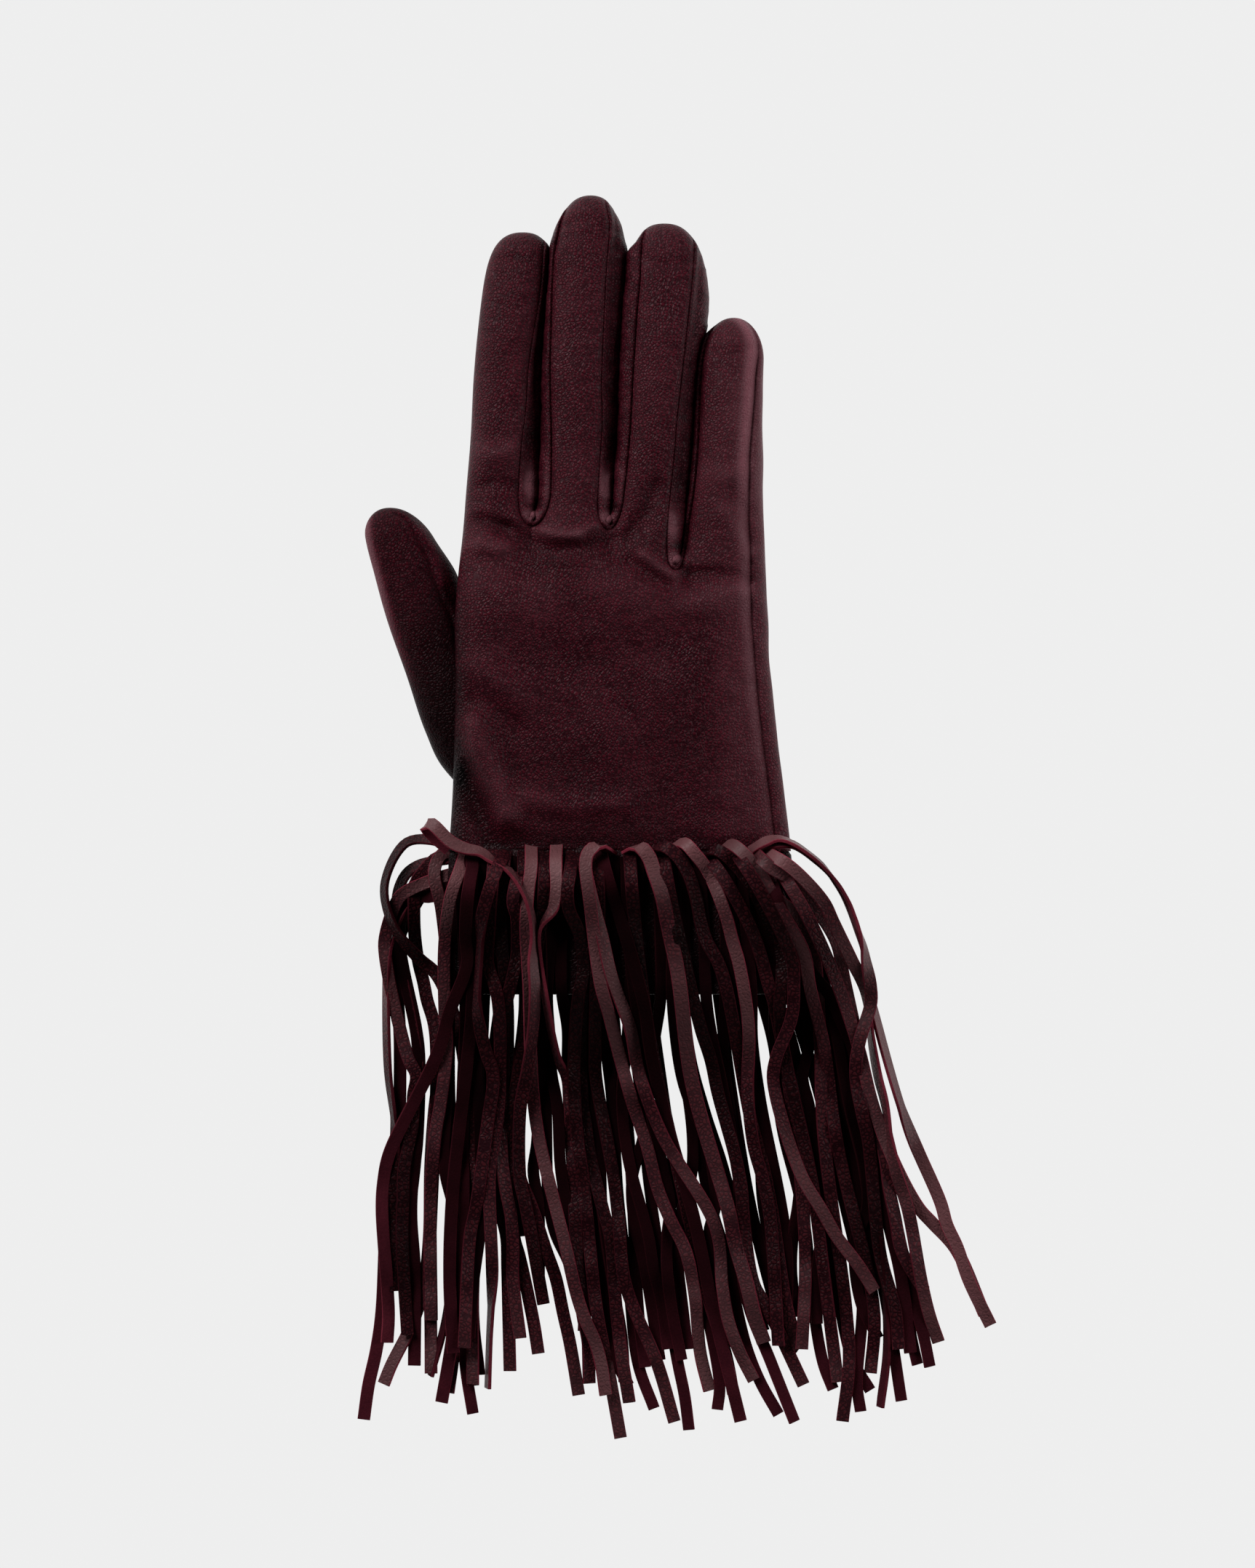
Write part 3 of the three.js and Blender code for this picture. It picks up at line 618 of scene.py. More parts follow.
def make_fourchette(node, gap, material):
    """A gusset strip: down the left finger from its tip, round the crotch and up the right finger."""
    sides, rows = [], []
    for side, name in enumerate(gap["between"]):
        own = finger_rows(name)
        own = own[own >= gap["y"] - 0.001]
        own = own[::-1] if side == 0 else own[1:]
        rows.append(own)
        sides.append(np.full(len(own), side))
    rows, sides = np.concatenate(rows)[:, None], np.concatenate(sides)[:, None]
    across = crowded(*FOURCHETTE_COLUMNS)[None, :]
    x, y, z = [], [], []
    for side, name in enumerate(gap["between"]):
        turn = gap["turn"][side]
        edge = seam_edge(gap, side, rows)
        strength = strength_of_seams(name, rows)
        apart = ease_past(gap, rows, GROOVE_BEGINS)
        back = skin(name, edge, rows, 1) - SEAM_GROOVE[0] * strength * apart
        palm = skin(name, edge, rows, -1)
        cosine = 1 - np.clip((rows - gap["y"]) / turn, 0, 1)
        sine = np.sqrt(1 - cosine ** 2)
        outwards = 1 if side == 0 else -1
        normal_x, normal_y = outwards * turn * sine, CROTCH_HALF * cosine
        length = np.hypot(normal_x, normal_y)
        bulge = mix(CROTCH_BULGE, fourchette_reach(gap, side, rows), sine ** TURN_POWER)
        angle = math.pi * across
        off = bulge * np.sin(angle) ** LEVEL_TURN
        upper = 1 - ease(across, *BACK_SHARE)
        recovery = SEAM_GROOVE[0] * (1 - bell(off, GROOVE_WIDTH)) * strength * upper
        recess = RECESS[side] * ease_past(gap, rows, RECESS_FROM) + RECESS_LEAST
        drop = recess * ease(off, *RECESS_OFF) * upper * strength
        wrinkles = SIDE_WRINKLES[0] * ripples(rows / 1.3, across * 5, 21)
        wrinkles = wrinkles + SIDE_WRINKLES[1] * ripples(rows / 3.1, across * 3, 22)
        turned = np.arcsin(np.clip(sine, 0, 1)) * outwards
        pinch = PINCHES["deep"] * np.sin(PINCHES["often"] * turned + PINCHES["shifted"])
        pinch = pinch * bell(turned, PINCHES["within"])
        out = off + (wrinkles * strength + pinch) * np.sin(angle)
        centre = (back + palm) / 2
        height = centre + (back - centre) * np.cos(angle) + recovery - drop
        on_top = TOP_WRINKLES * ripples(rows / 1.2, across * 4, 23)
        height = height + on_top * ease(off, 0.8, 1.8) * upper * strength
        height = height + PINCH_RISE * pinch * upper * ease(off, 0.6, 2.0)
        x.append(edge + normal_x / length * out)
        y.append(rows + normal_y / length * out)
        z.append(height)
    left = sides == 0
    x, y, z = (np.where(left, *pair) for pair in (x, y, z))
    bm = bmesh.new()
    lay(bm, x, y, z, turned=True)
    piece = finish_piece(node + "_leather", bm, [material], shade=fourchette_shade)
    thicken(piece, SKIN_THICK)
    dress(piece, node)


PLAIN_BACK = 0.92  # the back's shade, where 1 is the leather's plain colour
LIT_SIDE, LIT_FINGERS = 0.5, 0.1  # painted light: lighter on the little finger's side, and along the fingers
SEAM_RIM_HIGHLIGHT, RIM_OFF, RIM_WIDE = (0.8, 1.4), 1.8, 1.5  # a painted highlight along the side seam: in the hand, more beyond
DARK_WRIST, DARK_OVER_THUMB = 0.12, 0.6  # painted shade: darker towards the wrist, and where it overhangs the thumb
PATCHES, SMALL_PATCHES = 0.14, 0.1  # how much lighter and darker it is in patches


def trank_shade(x, y):
    """Painted light and shade on the back: lighter towards the little finger's side, along its side seam,
    along the fingers and on its folds, darker towards the wrist, in its hollows and where it overhangs
    the thumb, with lighter and darker patches at random.
    """
    light = LIT_SIDE * ease(x, 20, 35) + LIT_SIDE * ease(x, 33, 39) * ease(y, 24, 50)
    # a painted highlight along the side seam
    rim = (SEAM_RIM_HIGHLIGHT[0] + SEAM_RIM_HIGHLIGHT[1] * ease(y, 38, 72)) * ease(y, -46, 0)
    rim = rim * bell(x - along(SIDE_SEAM, "x", y) + RIM_OFF, RIM_WIDE)
    # painted shade towards the wrist and along the edge over the thumb
    dark = DARK_WRIST * ease(-y, -10, 40) + DARK_OVER_THUMB * ease(-x, 39, 44.6) * ease(-y, -40, -20)
    patches = PATCHES * ripples(x / 11, y / 9, 61) + SMALL_PATCHES * ripples(x / 4, y / 2.5, 62)
    # painted highlights along the folds, painted shade along the hollows
    for _, wide, sheen, line in FOLDS:
        light = light + sheen * bell(line_distance(x, y, line), wide)
    return PLAIN_BACK + light + rim + patches + LIT_FINGERS * ease(y, 10, 60) - dark


# Painted highlights and painted shade on each fourchette: across and along from its crotch, their size, the
# change
CROTCH_LIGHT_AND_SHADE = ((-0.6, 12.0, 1.6, 4.6, 2.2), (-0.2, 3.2, 2.0, 1.5, 2.2), (1.4, 6.6, 1.3, 1.5, -0.9),
                (4.2, 9.0, 1.2, 9.0, 0.7), (0.6, 26.0, 2.2, 5.0, -0.35))
FOURCHETTE_PLAIN, FOURCHETTE_DARKEST = 0.9, 0.1
FOURCHETTE_PATCHES = 0.3  # how much lighter and darker it is in patches


def fourchette_shade(x, y):
    """Painted highlights just above the crotches, where the leather is folded tight, and along the right
    finger's roll; painted shade in the fold and on the panel above it; lighter and darker patches at
    random.
    """
    shade = FOURCHETTE_PLAIN + FOURCHETTE_PATCHES * ripples(x / 1.6, y / 1.4, 63)
    for gap in GAPS:
        # painted highlights and painted shade round each crotch
        for across, up, wide, tall, change in CROTCH_LIGHT_AND_SHADE:
            off = ((x - gap["x"] - across) / wide) ** 2 + ((y - gap["y"] - up) / tall) ** 2
            shade = shade + change * np.exp(-off)
    return np.maximum(shade, FOURCHETTE_DARKEST)


THUMB_SHADES = (0.25, 0.62)  # painted shade, at its root and near its tip
THUMB_RIM_HIGHLIGHT = 2.0  # painted highlight: how much lighter its outer edge is
# a painted highlight on the facet beside the seam, and its width
THUMB_FACET_HIGHLIGHT, FACET_WIDE = 0.7, 1.6
THUMB_INNER_DARK = 0.45  # painted shade: the share by which its inner side is darker


def thumb_shade(x, y):
    """Painted shade darkens the thumb towards its root, where it comes out from under the palm, and on its
    inner side; painted highlights lighten its outer edge and the facet beside its seam.
    """
    edge = along(THUMB, "x", y) - along(THUMB, "half", y)
    # painted highlight along the outer edge
    painted_highlight = THUMB_RIM_HIGHLIGHT * ease(edge - x, -3.6, -0.4) * ease(y, -4, 30)
    # painted highlight on the facet beside the seam
    facet = THUMB_FACET_HIGHLIGHT * bell(line_distance(x, y, THUMB_RIDGE), FACET_WIDE)
    # painted shade towards the root and on the inner side
    shade = mix(*THUMB_SHADES, ease(y, -8, 40)) * (1 - THUMB_INNER_DARK * ease(x, -58, -47))
    return shade + painted_highlight + facet


def dress(piece, node):
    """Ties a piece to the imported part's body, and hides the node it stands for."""
    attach(piece, "root")
    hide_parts(node)


# The thumb's middle line, half width and heights, the long seam along it and a facet beside that
THUMB = table(
    "y x half low high",
    (-27, -38, 5.0, 4.5, 8.5), (-20, -41.3, 7.6, 1, 10.5), (-12, -43.2, 9.4, 0, 12),
    (4, -47.5, 10.5, 0, 12.6), (20, -52.6, 11.0, 0, 12.6), (32, -55.6, 11.3, 0, 12.4),
    (42, -60, 9.4, 0, 11.4), (50.2, -62.6, 7.6, 0, 10),
)
THUMB_TIP = 50.2
THUMB_SEAM = ((-63.5, 50), (-57.8, 46.6), (-54.7, 42), (-51.6, 35.8), (-49.7, 29.7), (-47.8, 24.3),
              (-45.5, 20.5), (-44, 14), (-42, 5))
THUMB_RIDGE = ((-53.5, 43.8), (-50, 38), (-48, 30))
THUMB_ROOT = -27
THUMB_STEP = 0.9
THUMB_TIP_ROWS = (9, 24, 2.0)  # length of the tip that has rows of its own, how many, how crowded
THUMB_PLACES = 97  # round the tube
THUMB_TAPER = dict(long=8.5, power=2.2, root=0.45, flat=0.8)
THUMB_LAP = 0.9  # the outer side lies this much higher at the seam
THUMB_GROOVE = (0.9, 0.65)
FACET_HIGH, FACET_EDGE = 0.5, 1.2  # the flattened place beside the seam stands up a little
THUMB_WAVES, THUMB_RIPPLES = 0.3, 0.1
THUMB_THICK = 0.8


def make_thumb(material):
    """The thumb: a tube of its own, closed at its tip and open where it enters the palm."""
    rounded, count, crowding = THUMB_TIP_ROWS
    straight = np.arange(THUMB_ROOT, THUMB_TIP - rounded, THUMB_STEP)
    rows = np.concatenate([straight, THUMB_TIP - rounded * np.linspace(1, 0, count) ** crowding])[:, None]
    turn = np.linspace(0, 2 * math.pi, THUMB_PLACES)[None, :]
    beside, over = squared_off(np.cos(turn), FINGER_POWER), squared_off(np.sin(turn), FINGER_POWER)
    from_tip = np.clip((THUMB_TIP - rows) / THUMB_TAPER["long"], 0, 1)
    taper = (1 - (1 - from_tip) ** THUMB_TAPER["power"]) ** THUMB_TAPER["root"]
    half = along(THUMB, "half", rows) * taper
    x = along(THUMB, "x", rows) + half * beside
    y = np.broadcast_to(rows, x.shape)
    low, high = np.maximum(along(THUMB, "low", rows), 0), along(THUMB, "high", rows)
    middle, rise = (low + high) / 2, (high - low) / 2
    z = middle + rise * over * taper ** THUMB_TAPER["flat"]
    top = ease(over, 0.02, 0.3)
    seam = line_distance(x, y, THUMB_SEAM)
    strength = ease(THUMB_TIP - y, 0.5, 4)
    seam_x = np.interp(-y, [-place[1] for place in THUMB_SEAM], [place[0] for place in THUMB_SEAM])
    z = z - THUMB_LAP * ease(x - seam_x, 0.2, 3) * top * strength
    z = z - groove(seam, THUMB_GROOVE) * top * strength
    z = z + FACET_HIGH * bell(line_distance(x, y, THUMB_RIDGE), FACET_EDGE) * top
    waves = THUMB_WAVES * ripples(x / 8, y / 10, 31) + THUMB_RIPPLES * ripples(x / 3, y / 4, 32)
    z = z + waves * top * strength
    z = higher(z - FLATTENED * (over < 0) * np.abs(over), low, PALM_ROUNDING) - PALM_SINK
    bm = bmesh.new()
    lay(bm, x, y, z, turned=True)
    piece = finish_piece("thumb_leather", bm, [material], shade=thumb_shade)
    thicken(piece, THUMB_THICK)
    dress(piece, "thumb")


HEM_Y = -83.0  # the folded edge of the cuff
HEM_ENDS = -75.0  # how far up inside the cuff its turned hem reaches
HEM_EDGE = 0.6  # how far the folded edge is rounded
LAYER = 0.8  # thickness of one layer of the cuff
# The cuff's upper edge, tucked under the hand: past the wrist seam and inwards, outside and inside
CUFF_TUCK = ((2.4, 1.2), (0.6, 1.1), (-0.2, 0.5))
CUFF_TUCK_INSIDE = ((-1, 1.4), (2.4, 2.0))
QUARTER_PLACES, QUARTER_CROWDING = 56, 1.5  # round each quarter, closer at its two ends
CUFF_WAVES, CUFF_RIPPLES = 0.25, 0.1
STITCHES_Y, STITCHES = -75.6, (0.35, 0.5)  # the hem's row of stitches, its depth and width
CUFF_SHADE = 0.2  # it lies in the dark under the strips


def make_cuff(material):
    """The wrist tube: its outside, its rounded hem edge and the turned-in layer inside."""
    outside = [(WRIST_Y + past, inset) for past, inset in CUFF_TUCK]
    outside += [(y, 0.0) for y in np.arange(WRIST_Y - 1.0, HEM_Y + HEM_EDGE, -1.3)]
    turns = np.linspace(0, math.pi, 9)
    edge = [(HEM_Y + HEM_EDGE - HEM_EDGE * math.sin(a), LAYER - LAYER * math.cos(a)) for a in turns]
    hem = [(y, 2 * LAYER) for y in np.arange(HEM_Y + 2 * LAYER, HEM_ENDS, 1.5)]
    inside = [(HEM_ENDS, 2 * LAYER), (HEM_ENDS + 0.2, LAYER + 0.1)]
    inside += [(y, LAYER) for y in np.arange(HEM_ENDS + 1.5, WRIST_Y - 3, 2.0)]
    inside += [(WRIST_Y + past, inset) for past, inset in CUFF_TUCK_INSIDE]
    path = np.array(outside + edge + hem + inside)
    rows, inset = path[:, :1], path[:, 1:]
    share = np.linspace(0, 1, QUARTER_PLACES)[:-1]
    share = share ** QUARTER_CROWDING / (share ** QUARTER_CROWDING + (1 - share) ** QUARTER_CROWDING)
    quarters = [(share + quarter) * math.pi / 2 for quarter in range(4)]
    turn = np.concatenate(quarters + [[2 * math.pi]])[None, :]
    left, right = along(HAND, "left", rows), along(HAND, "right", rows)
    half, middle = (right - left) / 2 - inset, (right + left) / 2
    x = middle + half * squared_off(np.cos(turn), HAND_POWER)
    y = np.broadcast_to(rows, x.shape)
    centre = (along(HAND, "top", rows) + UNDER_FRINGE) / 2
    section = round_section((x - middle) / np.maximum(half, 1), HAND_POWER)
    top = centre + (along(HAND, "top", rows) - centre - inset) * section
    bottom = centre - (centre - UNDER_FRINGE - inset) * section
    z = np.where(np.sin(turn) >= 0, top, bottom)
    waves = CUFF_WAVES * ripples(x / 13, y / 9, 41) + CUFF_RIPPLES * ripples(x / 4, y / 6, 42)
    stitched = groove(y - STITCHES_Y, STITCHES) * (inset < 0.1) * section
    z = z + waves * ease(section, 0.2, 0.8) - stitched
    bm = bmesh.new()
    lay(bm, x, y, z)
    piece = finish_piece("cuff_leather", bm, [material], shade=lambda x, y: CUFF_SHADE + 0 * x)
    dress(piece, "cuff")


STRIP_WIDE = 3.5
STRIP_THICK = 0.95
CELL = 0.6  # of the map of heights that the strips are laid on
MAP_X, MAP_Y = (-80, 112), (-214, -34)
STEEPEST = 0.36  # a strip bridges anything steeper
ON_CUFF = 0.2  # strips lie this much clear of the cuff


def cuff_top(x, y):
    """Height of the cuff and hand under the fringe, and 0 beside them."""
    left, right = along(HAND, "left", y), along(HAND, "right", y)
    inside = (x > left) & (x < right) & (y > HEM_Y)
    middle, half = (left + right) / 2, (right - left) / 2
    high = along(HAND, "top", y)
    section = round_section((x - middle) / half, HAND_POWER)
    top = (high + UNDER_FRINGE) / 2 + (high - UNDER_FRINGE) / 2 * section + ON_CUFF
    return np.where(inside, top, 0)


def blended(t, first, last, a, b):
    """From a at the first value of t to b at the last, in a straight line."""
    return (last - t) / (last - first) * a + (t - first) / (last - first) * b


def smooth_line(points, step):
    """A smooth curve through points, at even steps along it, from the centripetal Catmull-Rom form."""
    points = np.array(points, float)
    points = np.vstack([2 * points[0] - points[1], points, 2 * points[-1] - points[-2]])
    out = []
    for a, b, c, d in zip(points, points[1:], points[2:], points[3:]):
        lengths = [max(np.linalg.norm(q - p), 0.01) for p, q in ((a, b), (b, c), (c, d))]
        before, start, end, after = np.cumsum([0] + [length ** 0.5 for length in lengths])
        t = np.linspace(start, end, 12, endpoint=False)[:, None]
        one = blended(t, before, start, a, b)
        two = blended(t, start, end, b, c)
        three = blended(t, end, after, c, d)
        four = blended(t, before, end, one, two)
        five = blended(t, start, after, two, three)
        out.append(blended(t, start, end, four, five))
    line = np.vstack(out + [points[-2:-1]])
    length = np.concatenate([[0], np.cumsum(np.linalg.norm(np.diff(line, axis=0), axis=1))])
    count = max(int(round(length[-1] / step)), 8)
    at = np.linspace(0, length[-1], count)
    return np.stack([np.interp(at, length, line[:, i]) for i in (0, 1)], axis=1), at


def blurred(values, times):
    """Evens out a line of values."""
    for _ in range(times):
        padded = np.concatenate([[values[0]], values, [values[-1]]])
        values = (padded[:-2] + 2 * padded[1:-1] + padded[2:]) / 4
    return values


class HeightMap:
    """How high the pile is so far at each place, which the next strip is laid on."""

    def __init__(self):
        self.x = np.arange(MAP_X[0], MAP_X[1], CELL)
        self.y = np.arange(MAP_Y[0], MAP_Y[1], CELL)
        self.high = np.zeros((len(self.y), len(self.x)))

    def cells(self, x, y):
        """The map's row and column at each place."""
        i = np.clip(np.round((y - MAP_Y[0]) / CELL).astype(int), 0, len(self.y) - 1)
        j = np.clip(np.round((x - MAP_X[0]) / CELL).astype(int), 0, len(self.x) - 1)
        return i, j

    def under(self, x, y):
        """The highest place across a strip, for each place along it."""
        return self.high[self.cells(x, y)].max(axis=1)

    def cover(self, x, y, z):
        """Raises the pile to a strip's upper side."""
        np.maximum.at(self.high, self.cells(x, y), np.broadcast_to(z, x.shape))


# The lines below are where the photo shows the strips, from a camera this high over this place, on
# a level this high
SEEN_FROM, SEEN_OVER, SEEN_AT = 1018, (2.5, -25.6), 3
STEP_ALONG = 1.25  # between places along a strip
PILE_START, PILE_LIMIT = 15.0, 14.0  # above this height layers press together, up to this much more
ROLL_LONG, ROLL_FROM = 24, (3, 14)  # a strip rolls a little, over this length, past its root
ROOT_HIGH, ROOT_LONG = 12.0, 3.6  # a strip over the back comes out of the seam at this height
HELD_HIGH, HELD_LONG = 13.0, 8  # and lies at least this high, so far along
ARCH_LONG = 5.5  # from the seam to the arch's top, and from there down
ROOT_STEEP, ROOT_STEEP_TO = 3.0, 6  # its root may be this steep, so far along
BESIDE_HIGH, BESIDE_LONG = 6.5, 16  # a strip beside the cuff starts at this height
FALL_STEEPER = 1.6  # a strip comes down this much more steeply than it goes up
TILT_LIFTS = 0.8  # the share of a rolled strip's width that lifts it
CLEAR, SINKS = 0.06, 0.15  # room over the strip below, and how far one may sink into it
BELOW_CUFF = 1.4  # no strip under the cuff lies higher than this
OFF_GROUND = 0.05


def unit_rows(rows):
    """Each row of an array brought to length 1."""
    return rows / np.linalg.norm(rows, axis=1)[:, None]


def lay_strip(strip, pile, floor_only, random):
    """One strip's middle line, with heights that rest it on the pile, its width's direction and roll."""
    line, at = smooth_line(strip["points"], STEP_ALONG)
    over_back = strip["start"] == "over"
    waves = ripples(at / ROLL_LONG + random.uniform(0, 60), at * 0 + 0.5, 51)
    roll = np.radians(strip["lively"] * waves) * ease(at, *ROLL_FROM)
    if strip["roll"]:
        places, angles = np.array(strip["roll"], float).T
        roll = roll + np.radians(np.interp(at, places, angles))
    heading = unit_rows(np.gradient(line, axis=0))
    settled = np.searchsorted(at, strip["settle"]) if over_back else 0
    heading[:settled] = heading[settled]
    heading = unit_rows(np.stack([blurred(heading[:, 0], 4), blurred(heading[:, 1], 4)], axis=1))
    sideways = np.stack([-heading[:, 1], heading[:, 0]], axis=1)
    across = np.linspace(-0.5, 0.5, 9)[None, :] * strip["wide"]
    fine_x = line[:, 0][:, None] + sideways[:, 0][:, None] * across * np.cos(roll)[:, None]
    fine_y = line[:, 1][:, None] + sideways[:, 1][:, None] * across * np.cos(roll)[:, None]
    half_thick = STRIP_THICK / 2 * np.cos(roll)
    tilted = np.abs(np.sin(roll)) * strip["wide"] / 2
    resting = pile.under(fine_x, fine_y) + half_thick + tilted * TILT_LIFTS + CLEAR
    limit = np.full(len(at), STEEPEST)
    if over_back:
        arch = strip["arch"] * bell(at - ARCH_LONG, ARCH_LONG)
        resting = np.where(at < HELD_LONG, np.maximum(resting, HELD_HIGH), resting) + arch
        resting = mix(ROOT_HIGH, resting, ease(at, 0, ROOT_LONG))
        limit[at < ROOT_STEEP_TO] = ROOT_STEEP
    elif strip["start"] == "side":
        resting = np.maximum(resting, (1 - ease(at, 0, BESIDE_LONG)) * BESIDE_HIGH)
    z = resting.copy()
    steps = np.diff(at)
    for i in range(1, len(z)):
        z[i] = max(z[i], z[i - 1] - FALL_STEEPER * limit[i] * steps[i - 1])
    for i in range(len(z) - 2, -1, -1):
        z[i] = max(z[i], z[i + 1] - limit[i] * steps[i])
    z = np.maximum(blurred(z, 6), np.minimum(blurred(resting, 1), z) - SINKS)
    z = np.maximum(z, np.interp(at, *np.array(strip["lift"], float).T))
    if over_back:
        z[:3] = resting[:3]
    if floor_only:
        under_cuff = (cuff_top(line[:, 0], line[:, 1]) > 0) & (strip["start"] == "low")
        z = np.where(under_cuff, np.minimum(z, BELOW_CUFF), z)
    z = blurred(z, 2)
    covered = at > (HELD_LONG if over_back else ROLL_FROM[0])
    pile.cover(fine_x[covered], fine_y[covered], z[covered][:, None] + STRIP_THICK / 2)
    pressed = PILE_START + PILE_LIMIT * (1 - np.exp(-(z - PILE_START) / PILE_LIMIT))
    z = np.where(z > PILE_START, pressed, z)
    z = np.maximum(z, half_thick + tilted + OFF_GROUND)
    nearer = (z - SEEN_AT) / SEEN_FROM
    line = line + (np.array(SEEN_OVER) - line) * nearer[:, None]
    return line, at, z, sideways, roll


STRIP_BEVEL = 0.16


def strip_section(wide, thick):
    """The strip's cut form: across it and up, with bevelled edges, once round from its lower left."""
    half, up = wide / 2, thick / 2
    inner, side, third = half - STRIP_BEVEL, up - STRIP_BEVEL, half / 2.6
    return np.array([
        (-half, -side), (-half, side), (-inner, up), (-third, up), (third, up), (inner, up),
        (half, side), (half, -side), (inner, -up), (third, -up), (-third, -up), (-inner, -up),
        (-half, -side),
    ])


# Painted light and shade: how lit or shaded a strip looks over its first and its last stretch
TONES = {"deep": (0.17, 0.24), "dark": (0.2, 0.5), "plain": (0.5, 0.8), "light": (2.0, 1.2),
         "fading": (2.3, 0.35), "rising": (0.35, 1.5), "pale": (0.9, 2.8)}
TONE_CHANGES = (0.1, 0.8)  # the shares of its length between which the first goes over to the last
STRIPS_DIFFER = (0.75, 1.25)  # each strip is a little darker or lighter than its tone
CURL, CURL_LONG = 0.22, 22  # how far a strip is curled across, and how soon that changes
BLOTCHES, BLOTCH_LONG = 0.35, 17  # its shade wanders by this share, over this length
DIM, DIM_Y, DIM_WIDE = 0.3, -112, 13  # a band of painted shade across the whole fringe
TIPS_GLOW, TIPS_Y = 0.9, (158, 196)  # the pale ground lights the ends, this far below the middle
# On a strip that arches: a painted highlight on its arch and painted shade past it, each with its place and
# width
ARCH_GLOW, SHADE_PAST_ARCH = (0.5, 7, 5), (0.45, 26, 9)
ARCHED = 2  # such an arch is higher than this


def add_strip(bm, strip, pile, floor_only, seed):
    """One strip as a closed band with cut edges, coloured on its grain, its suede and its edges."""
    random = np.random.default_rng(seed)
    line, at, z, sideways, roll = lay_strip(strip, pile, floor_only, random)
    centre = np.column_stack([line, z])
    tangent = unit_rows(np.gradient(centre, axis=0))
    width = np.column_stack([sideways, np.zeros(len(z))])
    width = unit_rows(width - tangent * (width * tangent).sum(axis=1)[:, None])
    normal = np.cross(tangent, width)
    turned_width = width * np.cos(roll)[:, None] + normal * np.sin(roll)[:, None]
    turned_up = normal * np.cos(roll)[:, None] - width * np.sin(roll)[:, None]
    section = strip_section(strip["wide"], STRIP_THICK)
    curl = CURL * ripples(at / CURL_LONG + random.uniform(0, 60), at * 0 + 3.5, 52)
    camber = curl[:, None] * (1 - (section[:, 0] / strip["wide"] * 2) ** 2)[None, :]
    places = (centre[:, None, :] + turned_width[:, None, :] * section[None, :, :1]
              + turned_up[:, None, :] * (section[None, :, 1:] + camber[:, :, None]))
    up, down = (0, 1) if strip["face"] == "grain" else (1, 0)
    columns = [2, 2, up, up, up, 2, 2, 2, down, down, down, 2]
    # The shade along a strip is painted light and shade: its tone, a dim band, on an arch a highlight and
    # shade past it, and the ground's glow at its end, with random changes
    root, end = TONES[strip["tone"]]
    shades = mix(root, end, ease(at / at[-1], *TONE_CHANGES)) * random.uniform(*STRIPS_DIFFER)
    shades = shades * (1 + BLOTCHES * ripples(at / BLOTCH_LONG + random.uniform(0, 60), at * 0 + 5.5, 53))
    shades = shades * (1 - DIM * bell(line[:, 1] - DIM_Y, DIM_WIDE))
    if strip["arch"] > ARCHED:
        glow, glow_at, glow_long = ARCH_GLOW
        dark, dark_at, dark_long = SHADE_PAST_ARCH
        shades = shades * (1 - dark * bell(at - dark_at, dark_long)) + glow * bell(at - glow_at, glow_long)
    shades = shades + TIPS_GLOW * ease(-line[:, 1], *TIPS_Y)
    lay(bm, places[..., 0], places[..., 1], places[..., 2], columns_of=columns, shades=shades)


HIDDEN = dict(face="suede", tone="deep", lively=30, wide=3.2)  # strips of which little shows, darkened with painted shade by their deep tone
FILL_ARCH = 1.5  # the arch of a strip that fills the dark between others


def strip(start, *points, face="grain", arch=5.0, roll=(), wide=STRIP_WIDE, lively=27, tone="plain",
          settle=9, lift=((0, 0), (1, 0))):
    """One strip of the fringe: how it starts, its line in mm and how it lies. Its roll is given in
    degrees and its lift in mm, each at some lengths along it."""
    made = dict(start=start, points=points, face=face, arch=arch, roll=roll, wide=wide, lively=lively,
                tone=tone, settle=settle, lift=lift)
    if start in ("low", "fill"):
        made.update(HIDDEN)
    if start == "fill":
        made.update(start="over", arch=FILL_ARCH)
    return made


